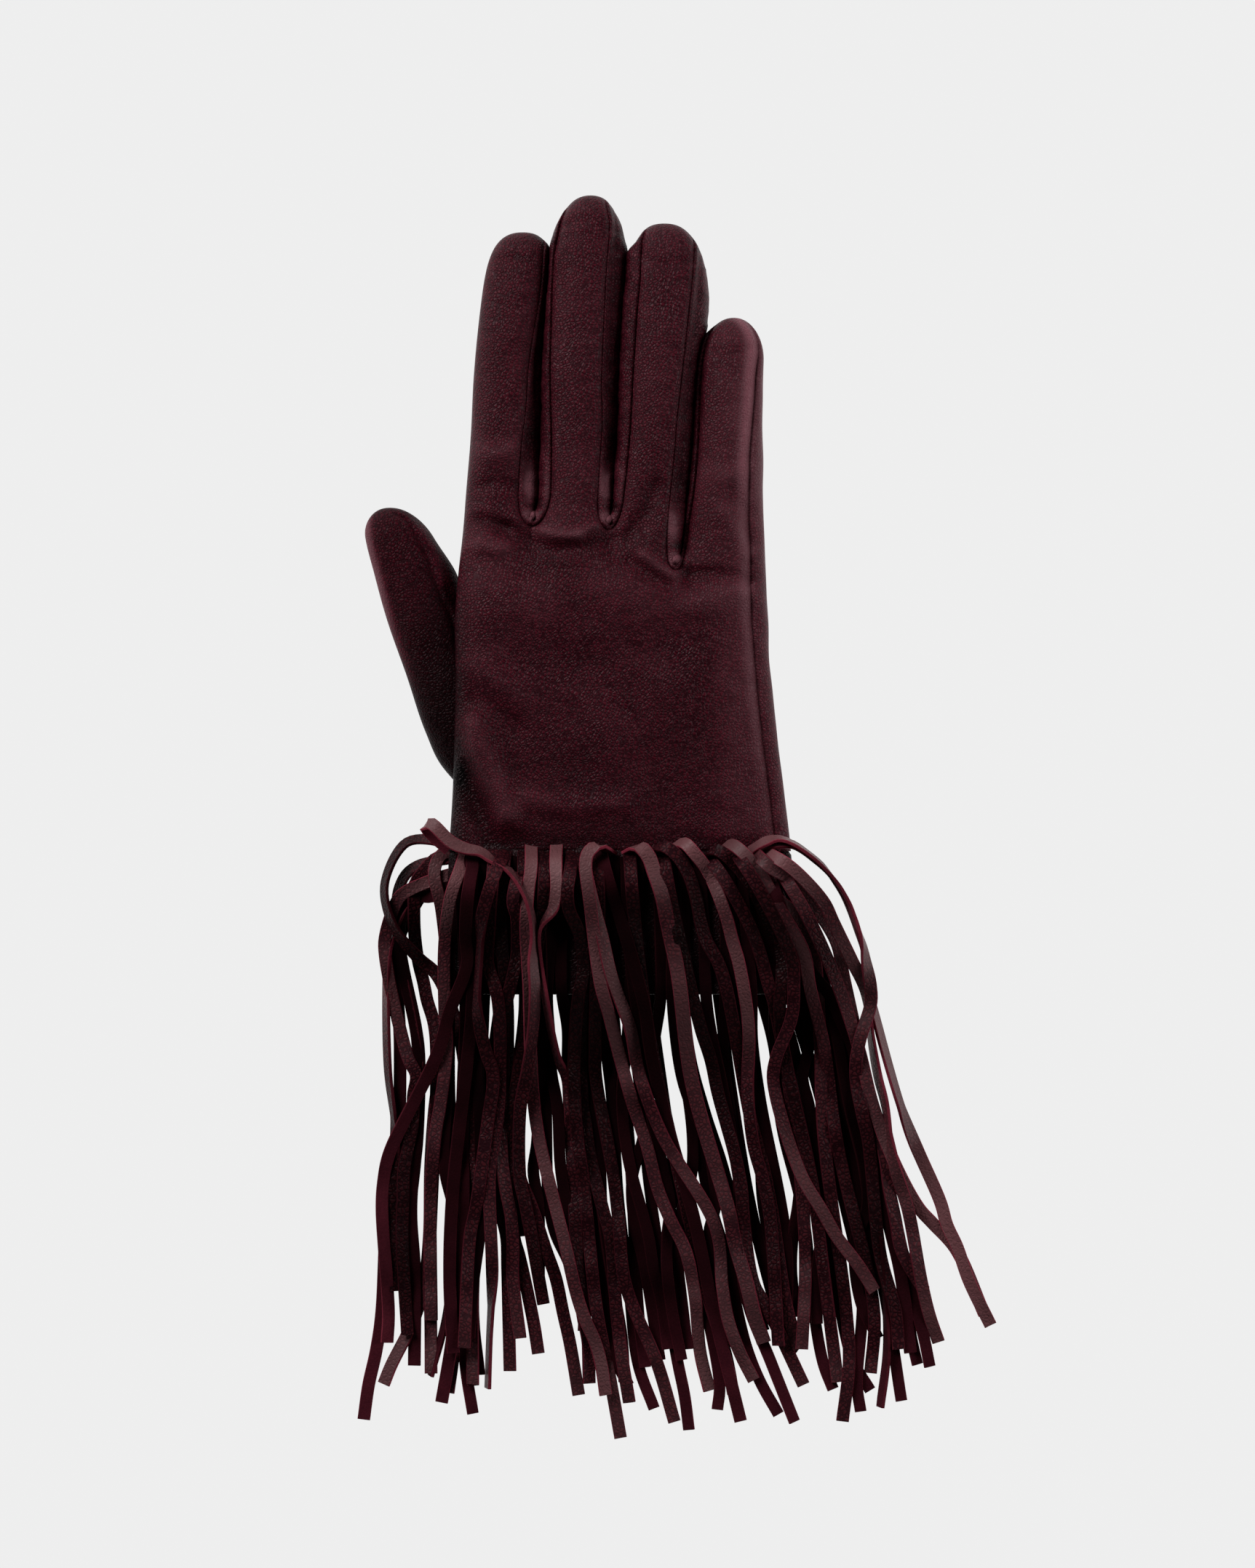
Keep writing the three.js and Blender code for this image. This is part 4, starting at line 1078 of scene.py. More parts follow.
# Strips that lie low: below the cuff, where the first ones hardly show, or beside it on the ground
LOW_LINES = (
    ((-36, -46), (-40, -70), (-41.4, -140), (-42.6, -176), (-42, -186), (-40, -198.7)),
    ((-30, -46), (-36.4, -80), (-37.4, -96), (-39.6, -120), (-39.4, -150), (-39.8, -172), (-38.2, -188)),
    ((-26, -46), (-31.6, -80), (-37, -120), (-41, -160), (-39.9, -191)),
    ((-20, -46), (-22, -80), (-20, -110), (-19.2, -140), (-17.4, -149), (-14.2, -156), (-10.6, -165),
     (-8.8, -175), (-8.2, -190)),
    ((-14, -46), (-14, -80), (-12, -110), (-4, -165), (-0.6, -184), (2.8, -191)),
    ((-8, -46), (-6, -80), (-2, -110), (0, -140), (3, -165), (5.4, -185), (9.8, -197.3)),
    ((-2, -46), (2, -80), (6, -110), (9, -140), (16, -183), (18.2, -193.9), (19.4, -203.2)),
    ((4, -46), (8, -80), (17, -140), (23, -165), (27.8, -190.8), (27.2, -197.6)),
    ((10, -46), (14, -80), (20, -110), (25, -140), (30.4, -158), (32.6, -170), (35.4, -181), (39, -190),
     (44, -198.9)),
    ((16, -46), (17.6, -80), (19.6, -100), (23.8, -116), (28.4, -130), (31.4, -142), (35.5, -168),
     (41.9, -184.5), (48.4, -201)),
    ((22, -46), (27, -80), (31, -110), (36, -140), (42, -165), (46, -178), (49.6, -181)),
    ((28, -46), (38, -80), (42.8, -98), (44.8, -119), (49.8, -139), (51.6, -150), (53, -165),
     (56.2, -184.5), (59, -192)),
    ((32, -46), (42, -80), (48.6, -100), (55, -140), (60, -165), (64.4, -184), (69.2, -192.3)),
    ((36, -46), (46, -80), (55, -110), (62, -140), (67, -165), (65.6, -190.8), (66.6, -198.1)),
    ((40, -46), (52, -80), (67, -140), (73, -165), (77.8, -195.2)),
    ((42, -50), (54, -78), (63, -105), (71, -135), (77.5, -160), (80.6, -178.2), (82.2, -185.2)),
    ((44, -54), (56, -80), (66, -105), (75, -140), (81.2, -168.2), (83.8, -177), (85.6, -185.8)),
)
LOW_STRIPS = [strip("low", *line) for line in LOW_LINES] + [
    strip("low", (-36, -46), (-40, -75), (-42.4, -105), (-43.6, -130), (-47.2, -171), (-51.6, -188.4),
          roll=((0, 0), (50, 62))),
    strip("low", (42, -48), (56, -90), (65, -115), (70, -140), (73.8, -179.5), (72, -197),
          roll=((0, 0), (70, 62))),
    strip("side", (-44, -46), (-46.6, -56), (-46.4, -75), (-47.5, -95), (-50.2, -112), (-51.6, -130),
          (-52, -150), (-53.6, -164), (-56.4, -173.3), (-62.5, -185.6), (-64.5, -190.6), tone="light"),
    strip("side", (-44.5, -46), (-50, -46.8), (-54.6, -47.8), (-58, -50), (-60, -53.4), (-61, -58),
          (-60.6, -68), (-55.4, -97), (-54.8, -110), (-56, -130), (-58.5, -150), (-60, -165),
          roll=((60, 45), (80, 0))),
    strip("side", (-44.5, -50), (-51, -52.6), (-56, -59), (-60.6, -69.4), (-60, -98.4), (-60.8, -126.8),
          (-63.4, -140), (-65.1, -171), (-66.6, -181.5), (-68.7, -191), (-70, -200.3), face="suede"),
    strip("side", (-44.5, -51), (-49, -52), (-53.4, -55), (-58, -58.4), (-62.4, -68), (-63.5, -73.4),
          (-63.4, -103.6), (-61.6, -120), (-61.8, -134.4), (-62.4, -142), (-61.6, -149.8), (-61.2, -165),
          tone="fading", roll=((0, 0), (16, 60), (76, 66), (92, 0))),
    strip("side", (-45, -52), (-51, -56.4), (-55, -56.6), (-58.4, -59), (-60, -63), (-60.2, -70),
          (-55.6, -93.4), (-54.8, -101), (-55.4, -124.2), (-56.6, -134.4), (-57, -144.6), (-56, -160),
          (-56.1, -185.5), tone="dark", face="suede"),
    strip("side", (-44.5, -45), (-50, -46), (-53, -49), (-56, -53.4), (-56.2, -59.4), (-56, -67),
          (-55, -74.4), (-53.6, -80), (-52.6, -85), (-50.6, -92), (-50, -105), (-52, -160),
          (-51.6, -173), (-51.5, -187.7)),
    strip("side", (-44.5, -50), (-50, -51.6), (-58, -55), (-60.4, -57), (-64, -67), (-64.2, -72),
          (-57.8, -101), (-55.6, -105.6), (-56.4, -111.4), (-56.6, -119), (-59, -131.8), (-59.2, -139.6),
          (-59.5, -149.8), (-58, -177), tone="fading"),
    strip("side", (-45, -44), (-48.6, -45), (-50.6, -49.4), (-48.6, -60), (-46.8, -80), (-46.6, -110),
          (-44.6, -150), (-45, -179), (-46.8, -193), tone="fading"),
    strip("side", (-44, -44.4), (-46.6, -42.6), (-51, -41), (-58.4, -41.8), (-64.3, -53.4),
          (-61.8, -64.8), (-55, -73.4), (-50, -78), (-45, -90), (-41.5, -110), (-40.5, -150),
          (-40, -190.6), roll=((0, 30), (12, 48), (42, 48), (60, 10))),
]
# Strips that come out over the back of the hand, in the order in which they lie on each other. The
# first ones fill the dark between those that show
FILL_LINES = (
    ((-37, -44), (-38, -64), (-39, -84), (-38, -124), (-37.6, -144), (-40, -164), (-41, -178)),
    ((-29, -44), (-30, -64), (-30.8, -84), (-30, -104), (-30.4, -124), (-27.8, -142), (-26.8, -150)),
    ((-14.6, -44), (-15.2, -60), (-15.6, -82), (-14, -93), (-14, -104), (-11.6, -144), (-9, -160),
     (-9.6, -176)),
    ((-1, -44), (-1.6, -62), (-1.6, -84), (-0.2, -100), (2.6, -120), (5.6, -172), (7.4, -186)),
    ((28, -44), (29.4, -64), (29.4, -84), (28.8, -98), (30.2, -112), (32.6, -128), (33.4, -145),
     (35, -160), (40, -176)),
    ((11, -44), (11.5, -66), (11.6, -84), (9.6, -98), (7, -122), (3.8, -134), (4.4, -146), (7.2, -158),
     (11.4, -184)),
    ((6, -44), (4, -70), (2.4, -96), (1, -112), (2.6, -128), (8.2, -150), (9.6, -159), (11.8, -168),
     (13.6, -181)),
    ((22, -44), (23.6, -66), (24.4, -87), (29.6, -114), (34.4, -143), (36.6, -162), (41, -174)),
    ((30, -44), (31.6, -66), (36, -112), (38.6, -124), (39.8, -141), (44, -162), (47.4, -174)),
    ((41, -46), (46, -64), (52.4, -96), (50.6, -106), (52.4, -114), (55.4, -132), (56.6, -141),
     (54.4, -162), (54.6, -174)),
    ((36, -46), (40, -64), (42.8, -84), (43, -96), (46, -113), (48.6, -122), (50, -132), (49.4, -141),
     (48, -150), (47.6, -160), (49, -172)),
    ((45, -50), (54, -72), (59, -90), (63.4, -114), (67.6, -132), (68.4, -142), (65, -152), (66.6, -168),
     (71.4, -178)),
    ((-9, -44), (-8.4, -66), (-8, -87), (-8.2, -100), (-7.6, -114), (-5, -132), (-4.6, -141),
     (-1.2, -165), (1, -178), (1.6, -190)),
    ((-18, -44), (-18.4, -64), (-19.6, -84), (-18.8, -96), (-18.4, -105), (-16.8, -114), (-15.8, -132),
     (-12.2, -152), (-7.6, -172)),
    ((-22.6, -44), (-21.4, -66), (-21, -90), (-22.4, -124), (-23.4, -132), (-22, -141), (-21.8, -162)),
    ((-43, -46), (-46, -66), (-46.6, -105), (-47.8, -131), (-45.6, -141), (-44, -152), (-42, -165),
     (-44, -180)),
    ((18, -44), (18.2, -66), (17.4, -90), (17.2, -102), (19.2, -112), (20.4, -123), (20.2, -132),
     (18, -141), (15.4, -150), (16.4, -159), (19, -181)),
    ((2, -44), (3, -70), (5.6, -92), (7.4, -108), (12.2, -131), (14.2, -141), (13.4, -150), (13.4, -160),
     (15, -172), (17.4, -184)),
    ((13, -46), (14.8, -66), (14.8, -84), (17.2, -105), (20, -114), (24.4, -123), (26, -132),
     (26.8, -141), (24.8, -150), (28, -168), (30, -180)),
    ((33, -44), (35, -64), (36.6, -84), (36.8, -96), (38.9, -112), (46, -150), (46.4, -174)),
)
TOP_STRIPS = [strip("fill", *line) for line in FILL_LINES] + [
    strip("over", (-31, -44), (-32.4, -57), (-32, -70), (-30.6, -85), (-30.6, -100), (-33.5, -130),
          (-32.8, -141.5), (-30.8, -150), (-30.5, -158.6), (-29.8, -187), tone="dark"),
    strip("over", (-26, -44), (-26, -52), (-25.8, -76), (-25.7, -88), (-28.4, -112), (-28.5, -124),
          (-27, -134), (-24, -141.5), (-19.9, -153.8), (-17.2, -161.5), (-15.2, -171), (-13.4, -179),
          (-10.9, -193.6), tone="dark"),
    strip("over", (-20, -44), (-21, -62), (-24, -80), (-25.6, -95), (-30.4, -125), (-28.7, -150),
          (-27.2, -155.6), (-23.4, -173.3), (-22, -182.2), tone="dark"),
    strip("over", (-43, -45), (-43, -60), (-42, -75), (-42, -90.8), (-43, -120), (-42.6, -135),
          (-42.8, -150), (-44, -161.5), (-45.8, -179), (-48.6, -195.6), tone="dark", face="suede"),
    strip("over", (-40, -45), (-40.6, -60), (-40, -75), (-40.4, -90), (-45.6, -138), (-46.4, -161.5),
          (-45.4, -182), tone="dark", face="suede"),
    strip("over", (-27, -48), (-29, -58), (-28, -62), (-27.8, -72), (-29.5, -80.6), (-31.3, -88.2),
          (-31.8, -106.2), (-32.3, -116.4), (-32, -129.2), (-31, -137), (-29.5, -144.6), (-29, -152.4),
          (-29, -161.5), (-27, -178)),
    strip("over", (-34, -44), (-35, -57), (-35.6, -67), (-36, -74.4), (-33.2, -84.4), (-32.6, -108),
          (-33.6, -120), (-35.4, -132), (-34.7, -161.5), (-35.5, -179), (-35.9, -191.8),
          roll=((112, 0), (126, 62))),
    strip("over", (-11, -44), (-9.4, -58), (-9.4, -75), (-10.4, -95), (-10, -111.4), (-9, -119),
          (-8, -126.7), (-4.4, -142.1), (-2.3, -149.8), (-1, -165), (0.5, -180), (3, -195.6),
          tone="dark"),
    strip("over", (-17, -42.2), (-17.2, -47), (-17, -54.4), (-18, -60), (-21, -64), (-22, -68),
          (-16.7, -101), (-14.1, -106.8), (-13, -120), (-11.4, -155), (-9.9, -171), (-8.4, -179),
          (-8, -190.4), tone="fading", roll=((0, 0), (16, 20), (24, 75), (60, 70), (76, 0))),
    strip("over", (-12.5, -44), (-13.2, -49.4), (-14, -54.4), (-13.6, -60), (-10.6, -67), (-9.6, -77),
          (-11, -84.4), (-12.3, -103.6), (-11.4, -122), (-9.6, -135), (-6, -170), (-2.5, -188),
          (0.6, -205.4), tone="dark"),
    strip("over", (-6, -44), (-5.4, -60), (-6, -75), (-6.4, -98.5), (-6.2, -106.2), (-1.6, -132),
          (0, -145), (1.9, -163), (10.7, -185), (15.4, -201), tone="dark"),
    strip("over", (3, -44), (4, -58), (8, -92), (16, -130), (24.4, -166), (29.4, -182), (31.6, -193.2),
          tone="dark"),
    strip("over", (12, -44), (15, -60), (22.6, -92.7), (25.4, -101.5), (27.3, -110.4), (32.1, -128),
          (33.8, -136.8), (34.4, -145.6), (37.2, -163), (40.8, -169.5), (50.9, -190.8), tone="dark"),
    strip("over", (-5, -43.2), (-3.6, -49.4), (0.4, -62), (7, -86), (9, -100), (14.2, -122),
          (20.5, -144), (25.6, -168), (33.6, -200.8), tone="dark", face="suede"),
    strip("over", (-10, -44.4), (-7.6, -56), (-4.4, -68), (-1.8, -79), (3.2, -92.7), (5.5, -104.4),
          (12, -122), (26.7, -147.4), (28.6, -164), (30.2, -173.2), (33.4, -182), (37.2, -189.5),
          tone="light"),
    strip("over", (-1.6, -45), (-5.6, -42.6), (-8.6, -45), (-7.6, -60), (-4.9, -80.6), (-2.8, -88.2),
          (3.3, -111.4), (7.8, -125), (10.8, -136.8), (14.4, -145.6), (18.4, -153.8), (21, -166),
          (22.5, -182), (25, -192.4), tone="light"),
    strip("over", (-24, -42.6), (-24, -48.4), (-25, -57), (-25.4, -66), (-24.6, -80.6), (-23.8, -106.2),
          (-22.1, -121.6), (-14.6, -152.4), (-11.4, -166.2), (-9, -173.3), (-6.6, -178.6), (-4.8, -185),
          (-3.5, -193.6), tone="light"),
    strip("over", (-30, -44.4), (-32.2, -46.4), (-37.5, -62), (-38, -70), (-38.7, -88.2), (-36.2, -100),
          (-34.6, -104.6), (-34.6, -109.8), (-35.6, -116.4), (-39.2, -142.1), (-40.8, -149.8),
          (-42.4, -180.6), roll=((18, 0), (26, 65), (42, 65), (54, 0))),
    strip("over", (-42.2, -45), (-43.5, -49), (-46.2, -57), (-47.8, -70), (-47.7, -88.2), (-47.2, -98.6),
          (-49, -114), (-50.3, -121.6), (-51.6, -139.6), (-51.4, -173), tone="light"),
    strip("over", (-39.5, -45.4), (-41.5, -57), (-42, -67), (-41.6, -75.4), (-46.4, -88.2), (-48.5, -96),
          (-51, -102.6), (-63, -127.2), (-64.5, -134.4), (-65, -142.1), (-63.2, -171), (-63.6, -179.2),
          tone="rising", face="suede"),
    strip("over", (-46.6, -43.6), (-51.2, -39.6), (-53, -37.2), (-51.8, -36.4), (-46, -41.6),
          (-42, -43.4), (-37.6, -44.4), (-35, -46.4), (-30, -49.4), (-25, -57.4), (-23.2, -67),
          (-23.6, -74.4), (-23, -82), (-23.4, -92), (-25, -104), (-27, -115), (-27, -134.4),
          (-25.4, -142.1), (-20.6, -168.6), arch=0, settle=18, tone="fading",
          roll=((20, 0), (32, -52), (84, -48), (100, -10), (160, 0)),
          lift=((0, 12), (7, 13.4), (10.5, 16), (13, 17.6), (24, 16.4), (34, 12), (40, 0))),
    strip("over", (2.4, -44.4), (5.6, -42.8), (8.2, -45.4), (9.8, -49.8), (12, -56.4), (13.6, -64.4),
          (16.4, -78), (20.2, -107.4), (30.2, -142.7), (32, -151.6), (35, -162), (37.5, -172),
          (40, -179.2), tone="light", wide=4.0),
    strip("over", (8.8, -43.6), (12.6, -42.8), (15.8, -45), (19, -49.8), (21.2, -56.4), (22.8, -64.4),
          (24.4, -69.2), (27.2, -74.2), (29.4, -80.6), (36.4, -118), (39.6, -130), (42, -142),
          (46.4, -170), (49.6, -181)),
    strip("over", (15.2, -42.2), (18, -41.8), (21.2, -45), (24.4, -49.2), (29.4, -61.2), (31.4, -68.8),
          (33.2, -75.2), (35.8, -92.6), (35.6, -110.4), (37.2, -125), (39.6, -133.8), (41.6, -144),
          (44, -180), tone="fading"),
    strip("over", (24.4, -45.6), (28.2, -50.4), (37, -66.6), (41.2, -80.6), (42.8, -86), (48, -116),
          (50.8, -142), (51.4, -160), (50.4, -181)),
    strip("over", (24, -45.6), (26.6, -43.6), (34.8, -51), (44, -71), (45, -78), (44.4, -86), (45, -96),
          (53, -134), (56.2, -158), (60.3, -190.1), tone="dark"),
    strip("over", (40, -47), (44, -57.4), (47.2, -60), (52.6, -67.2), (54.2, -75.2), (55.4, -95),
          (56.4, -122), (62.6, -170), (63.4, -185), (61.6, -200.8), tone="fading"),
    strip("over", (41, -50), (48, -68), (54.2, -79), (58, -83.4), (61.2, -90.4), (64.4, -98), (74, -145),
          (77.5, -160), (80.3, -182), tone="dark", face="suede"),
    strip("over", (28.2, -42.8), (31, -42.2), (38, -48.8), (44.4, -60), (51, -72), (52.6, -81),
          (56.7, -98.6), (60.2, -125), (69.2, -163), (70.4, -174), (69.3, -187.6), tone="fading"),
    strip("over", (37, -44), (42, -48.6), (48, -52.2), (56.8, -63.4), (60.2, -69.8), (61.8, -78),
          (65.8, -96.8), (67.4, -106), (73.2, -128), (74.4, -136.8), (76.2, -145.6), (77.8, -153.8),
          (84, -164.8), tone="light"),
    strip("over", (32, -44), (39, -55), (47.8, -74.2), (48.2, -81), (47.6, -89.8), (43.2, -101.5),
          (42.6, -107.4), (50, -132.6), (56, -143), (60, -150), (66, -158), (70.4, -165), tone="rising"),
    strip("over", (45, -50), (52, -62), (60, -80), (66, -98), (70, -114), (76, -130), (82.6, -142.2),
          (86.2, -146.2), (92.8, -153.6), (100.6, -171.4), tone="pale"),
    strip("over", (39, -44), (43, -42), (47.8, -42.2), (56.4, -48.8), (60.2, -54), (62.6, -58.4),
          (66.8, -70.4), (68.4, -80), (78.8, -117.6), (88.6, -140.8), (90.3, -146.8), (93.1, -152.8),
          (96.3, -162), (102.3, -174.4), tone="pale",
          roll=((0, 0), (8, -62), (16, -62), (24, -78), (40, -78), (50, -58), (90, -58), (104, 0))),
    strip("over", (38.6, -43.8), (42.8, -45.6), (47.8, -48.8), (56.4, -58), (59, -63.4), (64.4, -74.6),
          (67.8, -81.8), (69.6, -96), (71.4, -106.2), (73.2, -113.2), (76, -130.8), (79.6, -142.6),
          (83.4, -163), (85.6, -172), (88, -179), tone="light",
          roll=((46, 0), (58, 70), (90, 70), (102, 0))),
    strip("over", (36, -44.4), (39.6, -41.8), (44, -40.6), (47.8, -41.8), (56.4, -48.2), (62.8, -57.4),
          (65, -62.8), (67.2, -68.8), (68.2, -75.2), (69.4, -81.8), (69.4, -86), (66.2, -96.8),
          (65.2, -105), (67, -116.2), (68.6, -123), (72, -155), (76, -170), (77, -181), tone="fading",
          roll=((0, 0), (8, -62), (24, -62), (30, -78), (42, -78), (48, -58), (62, 0))),
]


STRIPS_MERGE = 0.000005  # metres, so that a strip's two long edges close and no two strips join
STRIPS_SHARP = 30  # degrees from which an edge shows as cut
LOW_SEED, LEFT_SEED, RIGHT_SEED = 100, 200, 300  # each strip adds its place in its piece


def make_fringe(materials):
    """All the strips, laid one after the other on the ground, the cuff and each other."""
    pile = HeightMap()
    make_strips("fringe_low", LOW_STRIPS, pile, True, LOW_SEED, materials)
    grid_x, grid_y = np.meshgrid(pile.x, pile.y)
    pile.high = np.maximum(pile.high, cuff_top(grid_x, grid_y))
    half = len(TOP_STRIPS) // 2
    make_strips("fringe_left", TOP_STRIPS[:half], pile, False, LEFT_SEED, materials)
    make_strips("fringe_right", TOP_STRIPS[half:], pile, False, RIGHT_SEED, materials)


def make_strips(name, strips, pile, floor_only, seed, materials):
    """One piece of the fringe: its strips, each closed at its ends."""
    bm = bmesh.new()
    bm.verts.layers.float.new("shade")
    for number, each in enumerate(strips):
        add_strip(bm, each, pile, floor_only, seed + number)
    bmesh.ops.remove_doubles(bm, verts=bm.verts, dist=STRIPS_MERGE)
    open_edges = [edge for edge in bm.edges if edge.is_boundary]
    bmesh.ops.holes_fill(bm, edges=open_edges, sides=0)
    bmesh.ops.recalc_face_normals(bm, faces=bm.faces)
    piece = finish_piece(name, bm, materials, merge=STRIPS_MERGE, sharp=STRIPS_SHARP)
    dress(piece, "fringe")


PHOTO_HIGH = 2156 * 0.2  # the photo's height in mm, at 0.2 mm to a pixel
LENS, SENSOR = 85, 36  # in mm
WORLD_LIGHT = 0.028
# Softboxes: name, place and size in metres, watts
SOFTBOXES = (("main", (-0.72, 0.75, 0.66), (0.7, 0.5), 10.5), ("right", (1.0, 0.05, 0.3), (0.3, 0.8), 5))


def camera_and_light():
    """A camera straight above, as in the photograph, and soft studio light."""
    scene = bpy.context.scene
    scene.view_settings.view_transform = "Standard"
    camera_data = bpy.data.cameras.new("camera")
    camera_data.lens = LENS
    camera_data.sensor_width = SENSOR
    camera_data.sensor_height = SENSOR
    camera_data.sensor_fit = "VERTICAL"
    camera = in_scene("camera", camera_data)
    scene.camera = camera
    distance = PHOTO_HIGH * LENS / SENSOR
    camera.location = (SEEN_OVER[0] * MM, SEEN_OVER[1] * MM, (distance + SEEN_AT) * MM)
    world = bpy.data.worlds.new("studio")
    scene.world = world
    world.use_nodes = True
    background = world.node_tree.nodes["Background"]
    background.inputs["Color"].default_value = (1, 1, 1, 1)
    background.inputs["Strength"].default_value = WORLD_LIGHT
    for box in SOFTBOXES:
        softbox(*box)


def softbox(name, place, size, watts):
    """A rectangular lamp that faces the middle of the palm."""
    lamp_data = bpy.data.lights.new(name, "AREA")
    lamp_data.shape = "RECTANGLE"
    lamp_data.size, lamp_data.size_y = size
    lamp_data.energy = watts
    lamp = in_scene(name, lamp_data)
    lamp.location = place
    lamp.rotation_mode = "QUATERNION"
    lamp.rotation_quaternion = Vector(place).to_track_quat("Z", "Y")


GROUND_REACH = 3  # metres from the middle to each edge
GROUND_GREY = 0.857  # as bright as in the photo


def make_ground():
    """The plain pale ground of the photo, evenly bright and without the glove's shadow."""
    bm = bmesh.new()
    bmesh.ops.create_grid(bm, x_segments=2, y_segments=2, size=GROUND_REACH)
    mesh = bpy.data.meshes.new("ground")
    bm.to_mesh(mesh)
    bm.free()
    ground = in_scene("ground", mesh)
    finish = Finish("ground")
    grey = (GROUND_GREY, GROUND_GREY, GROUND_GREY, 1)
    finish.surface(finish.node("ShaderNodeEmission", {}, {"Color": grey}))
    mesh.materials.append(finish.material)


class Socket:
    """A node's output, which plain arithmetic turns into Math nodes."""

    def __init__(self, finish, output):
        self.finish, self.output = finish, output

    def math(self, operation, other):
        return self.finish.node("ShaderNodeMath", {"operation": operation}, {0: self, 1: other})

    def __add__(self, other):
        return self.math("ADD", other)

    def __mul__(self, other):
        return self.math("MULTIPLY", other)

    __radd__ = __add__
    __rmul__ = __mul__


class Finish:
    """One material, with its nodes made from plain calls."""

    def __init__(self, name):
        self.material = bpy.data.materials.new(name)
        self.material.use_nodes = True
        self.tree = self.material.node_tree
        self.tree.nodes.clear()

    def node(self, kind, settings, inputs, take=0):
        """A node with its settings and its inputs' values or links, as the output that is used."""
        made = self.tree.nodes.new(kind)
        for name, value in settings.items():
            setattr(made, name, value)
        for name, value in inputs.items():
            if isinstance(value, Socket):
                self.tree.links.new(value.output, made.inputs[name])
            else:
                made.inputs[name].default_value = value
        return Socket(self, made.outputs[take])

    def places(self):
        """Places in metres, in the glove's own frame."""
        return self.node("ShaderNodeTexCoord", {}, {}, "Object")

    def stretched(self, places, scale):
        return self.node("ShaderNodeMapping", {}, {"Vector": places, "Scale": scale})

    def noise(self, places, scale, detail):
        return self.node("ShaderNodeTexNoise", {}, {"Vector": places, "Scale": scale, "Detail": detail})

    def cells(self, places, scale):
        """Distance to the nearest edge between cells."""
        return self.node("ShaderNodeTexVoronoi", {"feature": "DISTANCE_TO_EDGE"},
                         {"Vector": places, "Scale": scale})

    def between(self, share, first, second):
        """A colour between two others."""
        inputs = {0: share, 6: first, 7: second}
        return self.node("ShaderNodeMix", {"data_type": "RGBA"}, inputs, 2)

    def shade(self):
        """The shade that each piece carries, 1 for its plain colour."""
        return self.node("ShaderNodeAttribute", {"attribute_name": "shade"}, {}, "Fac")

    def shaded(self, colour):
        """A colour times the piece's own shade at each place."""
        return self.node("ShaderNodeVectorMath", {"operation": "SCALE"}, {0: colour, "Scale": self.shade()})

    def range(self, value, low, high, to_low=0.0, to_high=1.0):
        """A value between low and high, brought to between two others."""
        inputs = {"Value": value, "From Min": low, "From Max": high, "To Min": to_low, "To Max": to_high}
        return self.node("ShaderNodeMapRange", {}, inputs)

    def bump(self, height, strength):
        inputs = {"Height": height, "Distance": GRAIN_DEEP, "Strength": strength}
        return self.node("ShaderNodeBump", {}, inputs)

    def surface(self, shader):
        """Makes a shader the material's look."""
        output = self.tree.nodes.new("ShaderNodeOutputMaterial")
        self.tree.links.new(shader.output, output.inputs["Surface"])


DULL_RED_SHEEN = (1, 0.76, 0.8, 1)
GRAIN_DEEP = 0.0002  # metres
# How many times in a metre the grain's noises change, and how much finer their detail goes
FINE_GRAIN, CREASED_GRAIN, MOTTLED, FINE_TONE = (2400, 3.0), (420, 4.0), (62, 3.0), (1100, 2.0)
CREASES_RUN = (0.35, 1.3, 0.8)  # the creases are longer across the hand than along it
CELL_EDGE = 0.3  # the pebbles are flat this far from their edges
CELLS_IN_GRAIN, FINE_IN_GRAIN, CREASES_IN_GRAIN = 0.7, 0.15, 0.5
MOTTLED_IN_TONE, FINE_IN_TONE, CREASES_IN_TONE = 0.12, 0.5, 0.14
TONE_RANGE = (0.31, 0.47)  # without the pebbles' half share
HIGHLIGHT_FROM, COATED, MATT = (0.9, 2.2), (0.6, 1.8), (0.3, 0.7)  # where the painted highlight colour, polish and roughness change
ROUGHNESS, COAT_ROUGHNESS = (0.43, 0.52), 0.55
GRAIN_STRENGTH, FUZZ_STRENGTH = 0.9, 0.6
FUZZ, FUZZ_PATCHES, FUZZ_RANGE = (1900, 4.0), (180, 3.0), (0.3, 0.7)
SUEDE_ROUGHNESS, SUEDE_GLOSS = 0.92, 0.03


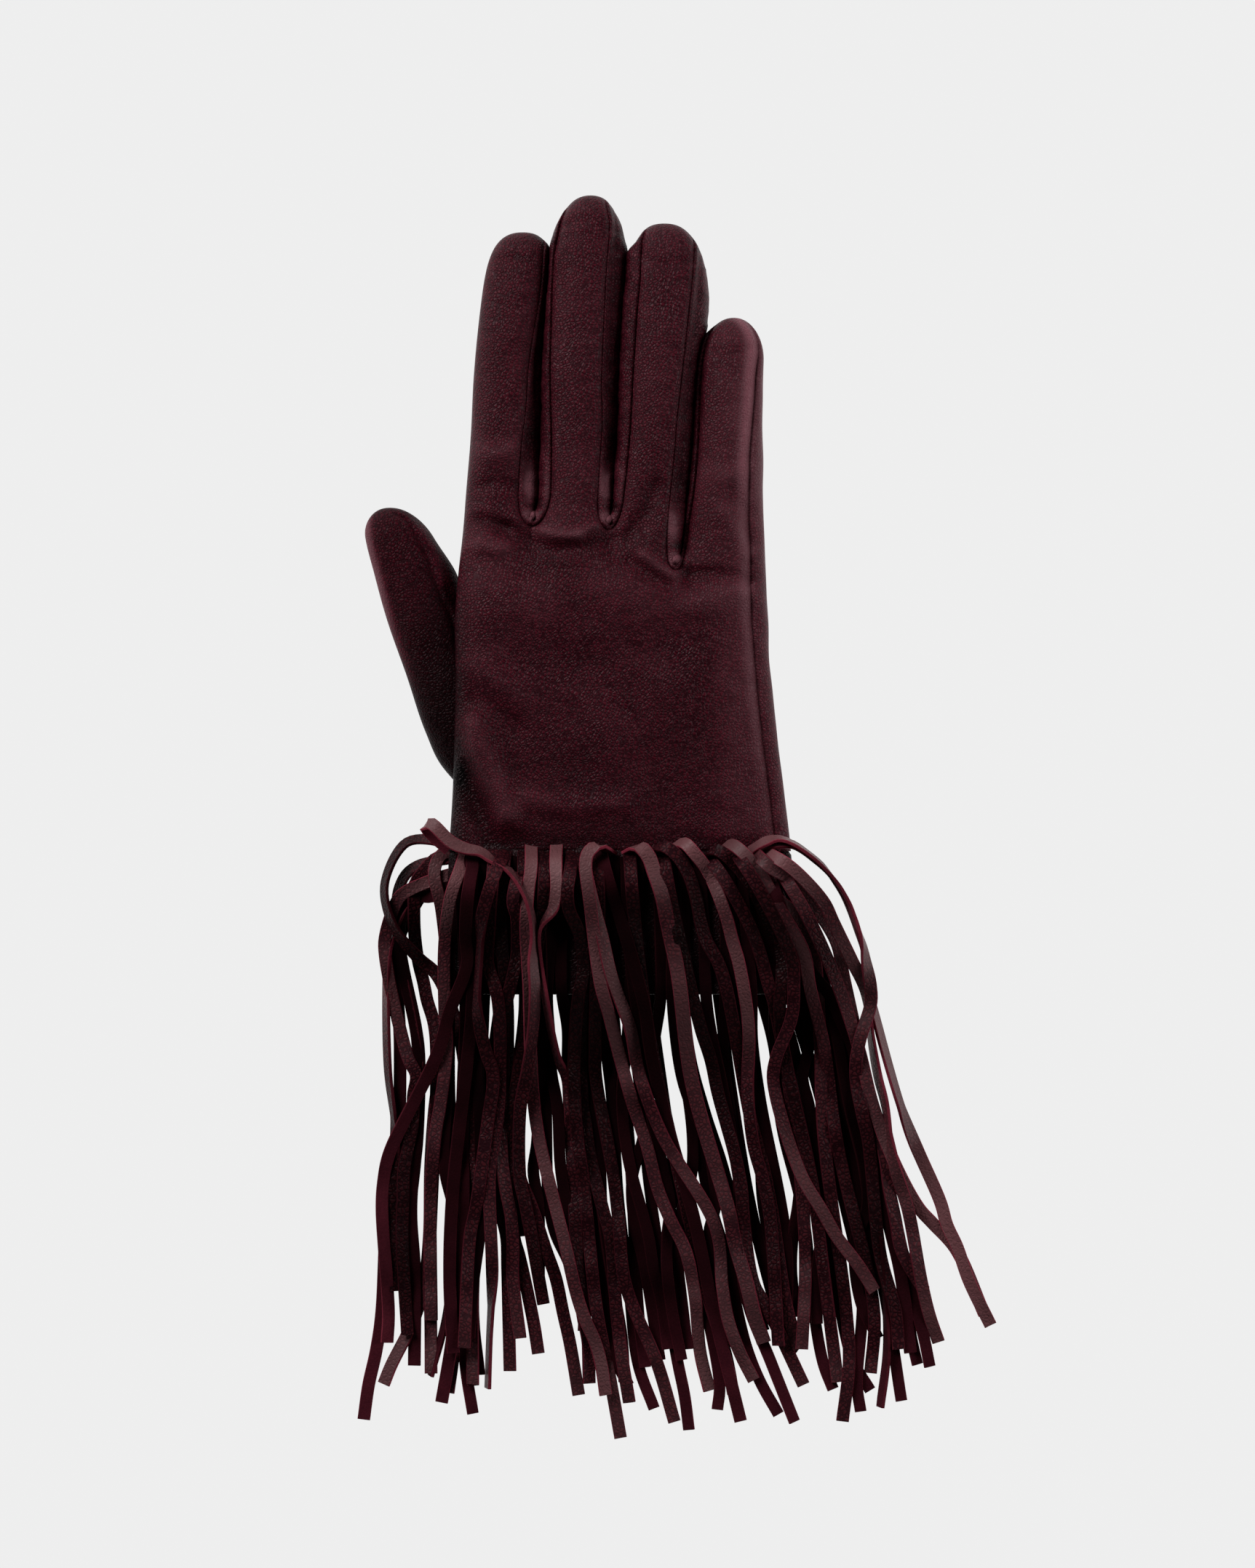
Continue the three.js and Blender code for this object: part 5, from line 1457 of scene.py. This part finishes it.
def nappa(name, colours, gloss=0.19, polish=0.0, pebble=0.3, pebbles=1150, sheen=DULL_RED_SHEEN):
    """Fine-grained soft leather with a dull satin finish, greyer and shinier where its painted shade is
    light. Its colours are those of its hollows, of its grain's tops and of its painted highlights."""
    deep, light, painted_highlight = colours
    finish = Finish(name)
    places = finish.places()
    cells = finish.range(finish.cells(places, pebbles), 0.0, CELL_EDGE)
    fine = finish.noise(places, *FINE_GRAIN)
    creases = finish.noise(finish.stretched(places, CREASES_RUN), *CREASED_GRAIN)
    grain = cells * CELLS_IN_GRAIN + fine * FINE_IN_GRAIN + creases * CREASES_IN_GRAIN
    mottle = finish.noise(places, *MOTTLED)
    fine_tone = finish.noise(places, *FINE_TONE)
    mixed = mottle * MOTTLED_IN_TONE + fine_tone * FINE_IN_TONE + creases * CREASES_IN_TONE + cells * pebble
    tone = finish.range(mixed, *(end + 0.5 * pebble for end in TONE_RANGE))
    shade = finish.shade()
    # towards the grey of a painted highlight where the painted shade is light
    highlight_share = finish.range(shade, *HIGHLIGHT_FROM)
    colour = finish.shaded(finish.between(highlight_share, finish.between(tone, deep, light), painted_highlight))
    roughness = finish.range(mottle, *MATT, *ROUGHNESS)
    shader = finish.node("ShaderNodeBsdfPrincipled", {}, {
        "Base Color": colour, "Roughness": roughness, "Normal": finish.bump(grain, GRAIN_STRENGTH),
        "Specular IOR Level": gloss, "Specular Tint": sheen,
        "Coat Weight": finish.range(shade, *COATED, 0.0, polish), "Coat Roughness": COAT_ROUGHNESS})
    finish.surface(shader)
    return finish.material


def suede(name, deep, light):
    """The leather's fuzzy inner side, or its raw cut edge."""
    finish = Finish(name)
    places = finish.places()
    fuzz = finish.noise(places, *FUZZ)
    patches = finish.noise(places, *FUZZ_PATCHES)
    colour = finish.between(finish.range(fuzz * 0.5 + patches * 0.5, *FUZZ_RANGE), deep, light)
    shader = finish.node("ShaderNodeBsdfPrincipled", {}, {
        "Base Color": finish.shaded(colour), "Roughness": SUEDE_ROUGHNESS,
        "Normal": finish.bump(fuzz, FUZZ_STRENGTH), "Specular IOR Level": SUEDE_GLOSS})
    finish.surface(shader)
    return finish.material


# Colours of the leather's hollows and its grain's tops, and the grey of its painted highlights
GLOVE_COLOURS = ((0.030, 0.0018, 0.0056, 1), (0.094, 0.0066, 0.0160, 1), (0.066, 0.022, 0.028, 1))
STRIP_COLOURS = ((0.028, 0.0034, 0.0072, 1), (0.092, 0.0125, 0.0185, 1), (0.062, 0.022, 0.0245, 1))

camera_and_light()
make_ground()
GLOVE_NAPPA = nappa("glove_leather", GLOVE_COLOURS)
THUMB_NAPPA = nappa("thumb_leather", GLOVE_COLOURS, gloss=0.1)
STRIP_GRAIN = nappa("strip_grain", STRIP_COLOURS, gloss=0.12, polish=0.5, pebble=0.5, pebbles=900,
                    sheen=(1, 0.80, 0.79, 1))
STRIP_SUEDE = suede("strip_suede", (0.037, 0.0060, 0.0100, 1), (0.068, 0.0100, 0.0165, 1))
STRIP_EDGE = suede("strip_edge", (0.078, 0.008, 0.016, 1), (0.125, 0.019, 0.029, 1))
make_trank(GLOVE_NAPPA)
for gap, node in zip(GAPS, ("fourchette_index_middle", "fourchette_middle_ring", "fourchette_ring_little")):
    make_fourchette(node, gap, GLOVE_NAPPA)
make_thumb(THUMB_NAPPA)
make_cuff(GLOVE_NAPPA)
make_fringe([STRIP_GRAIN, STRIP_SUEDE, STRIP_EDGE])
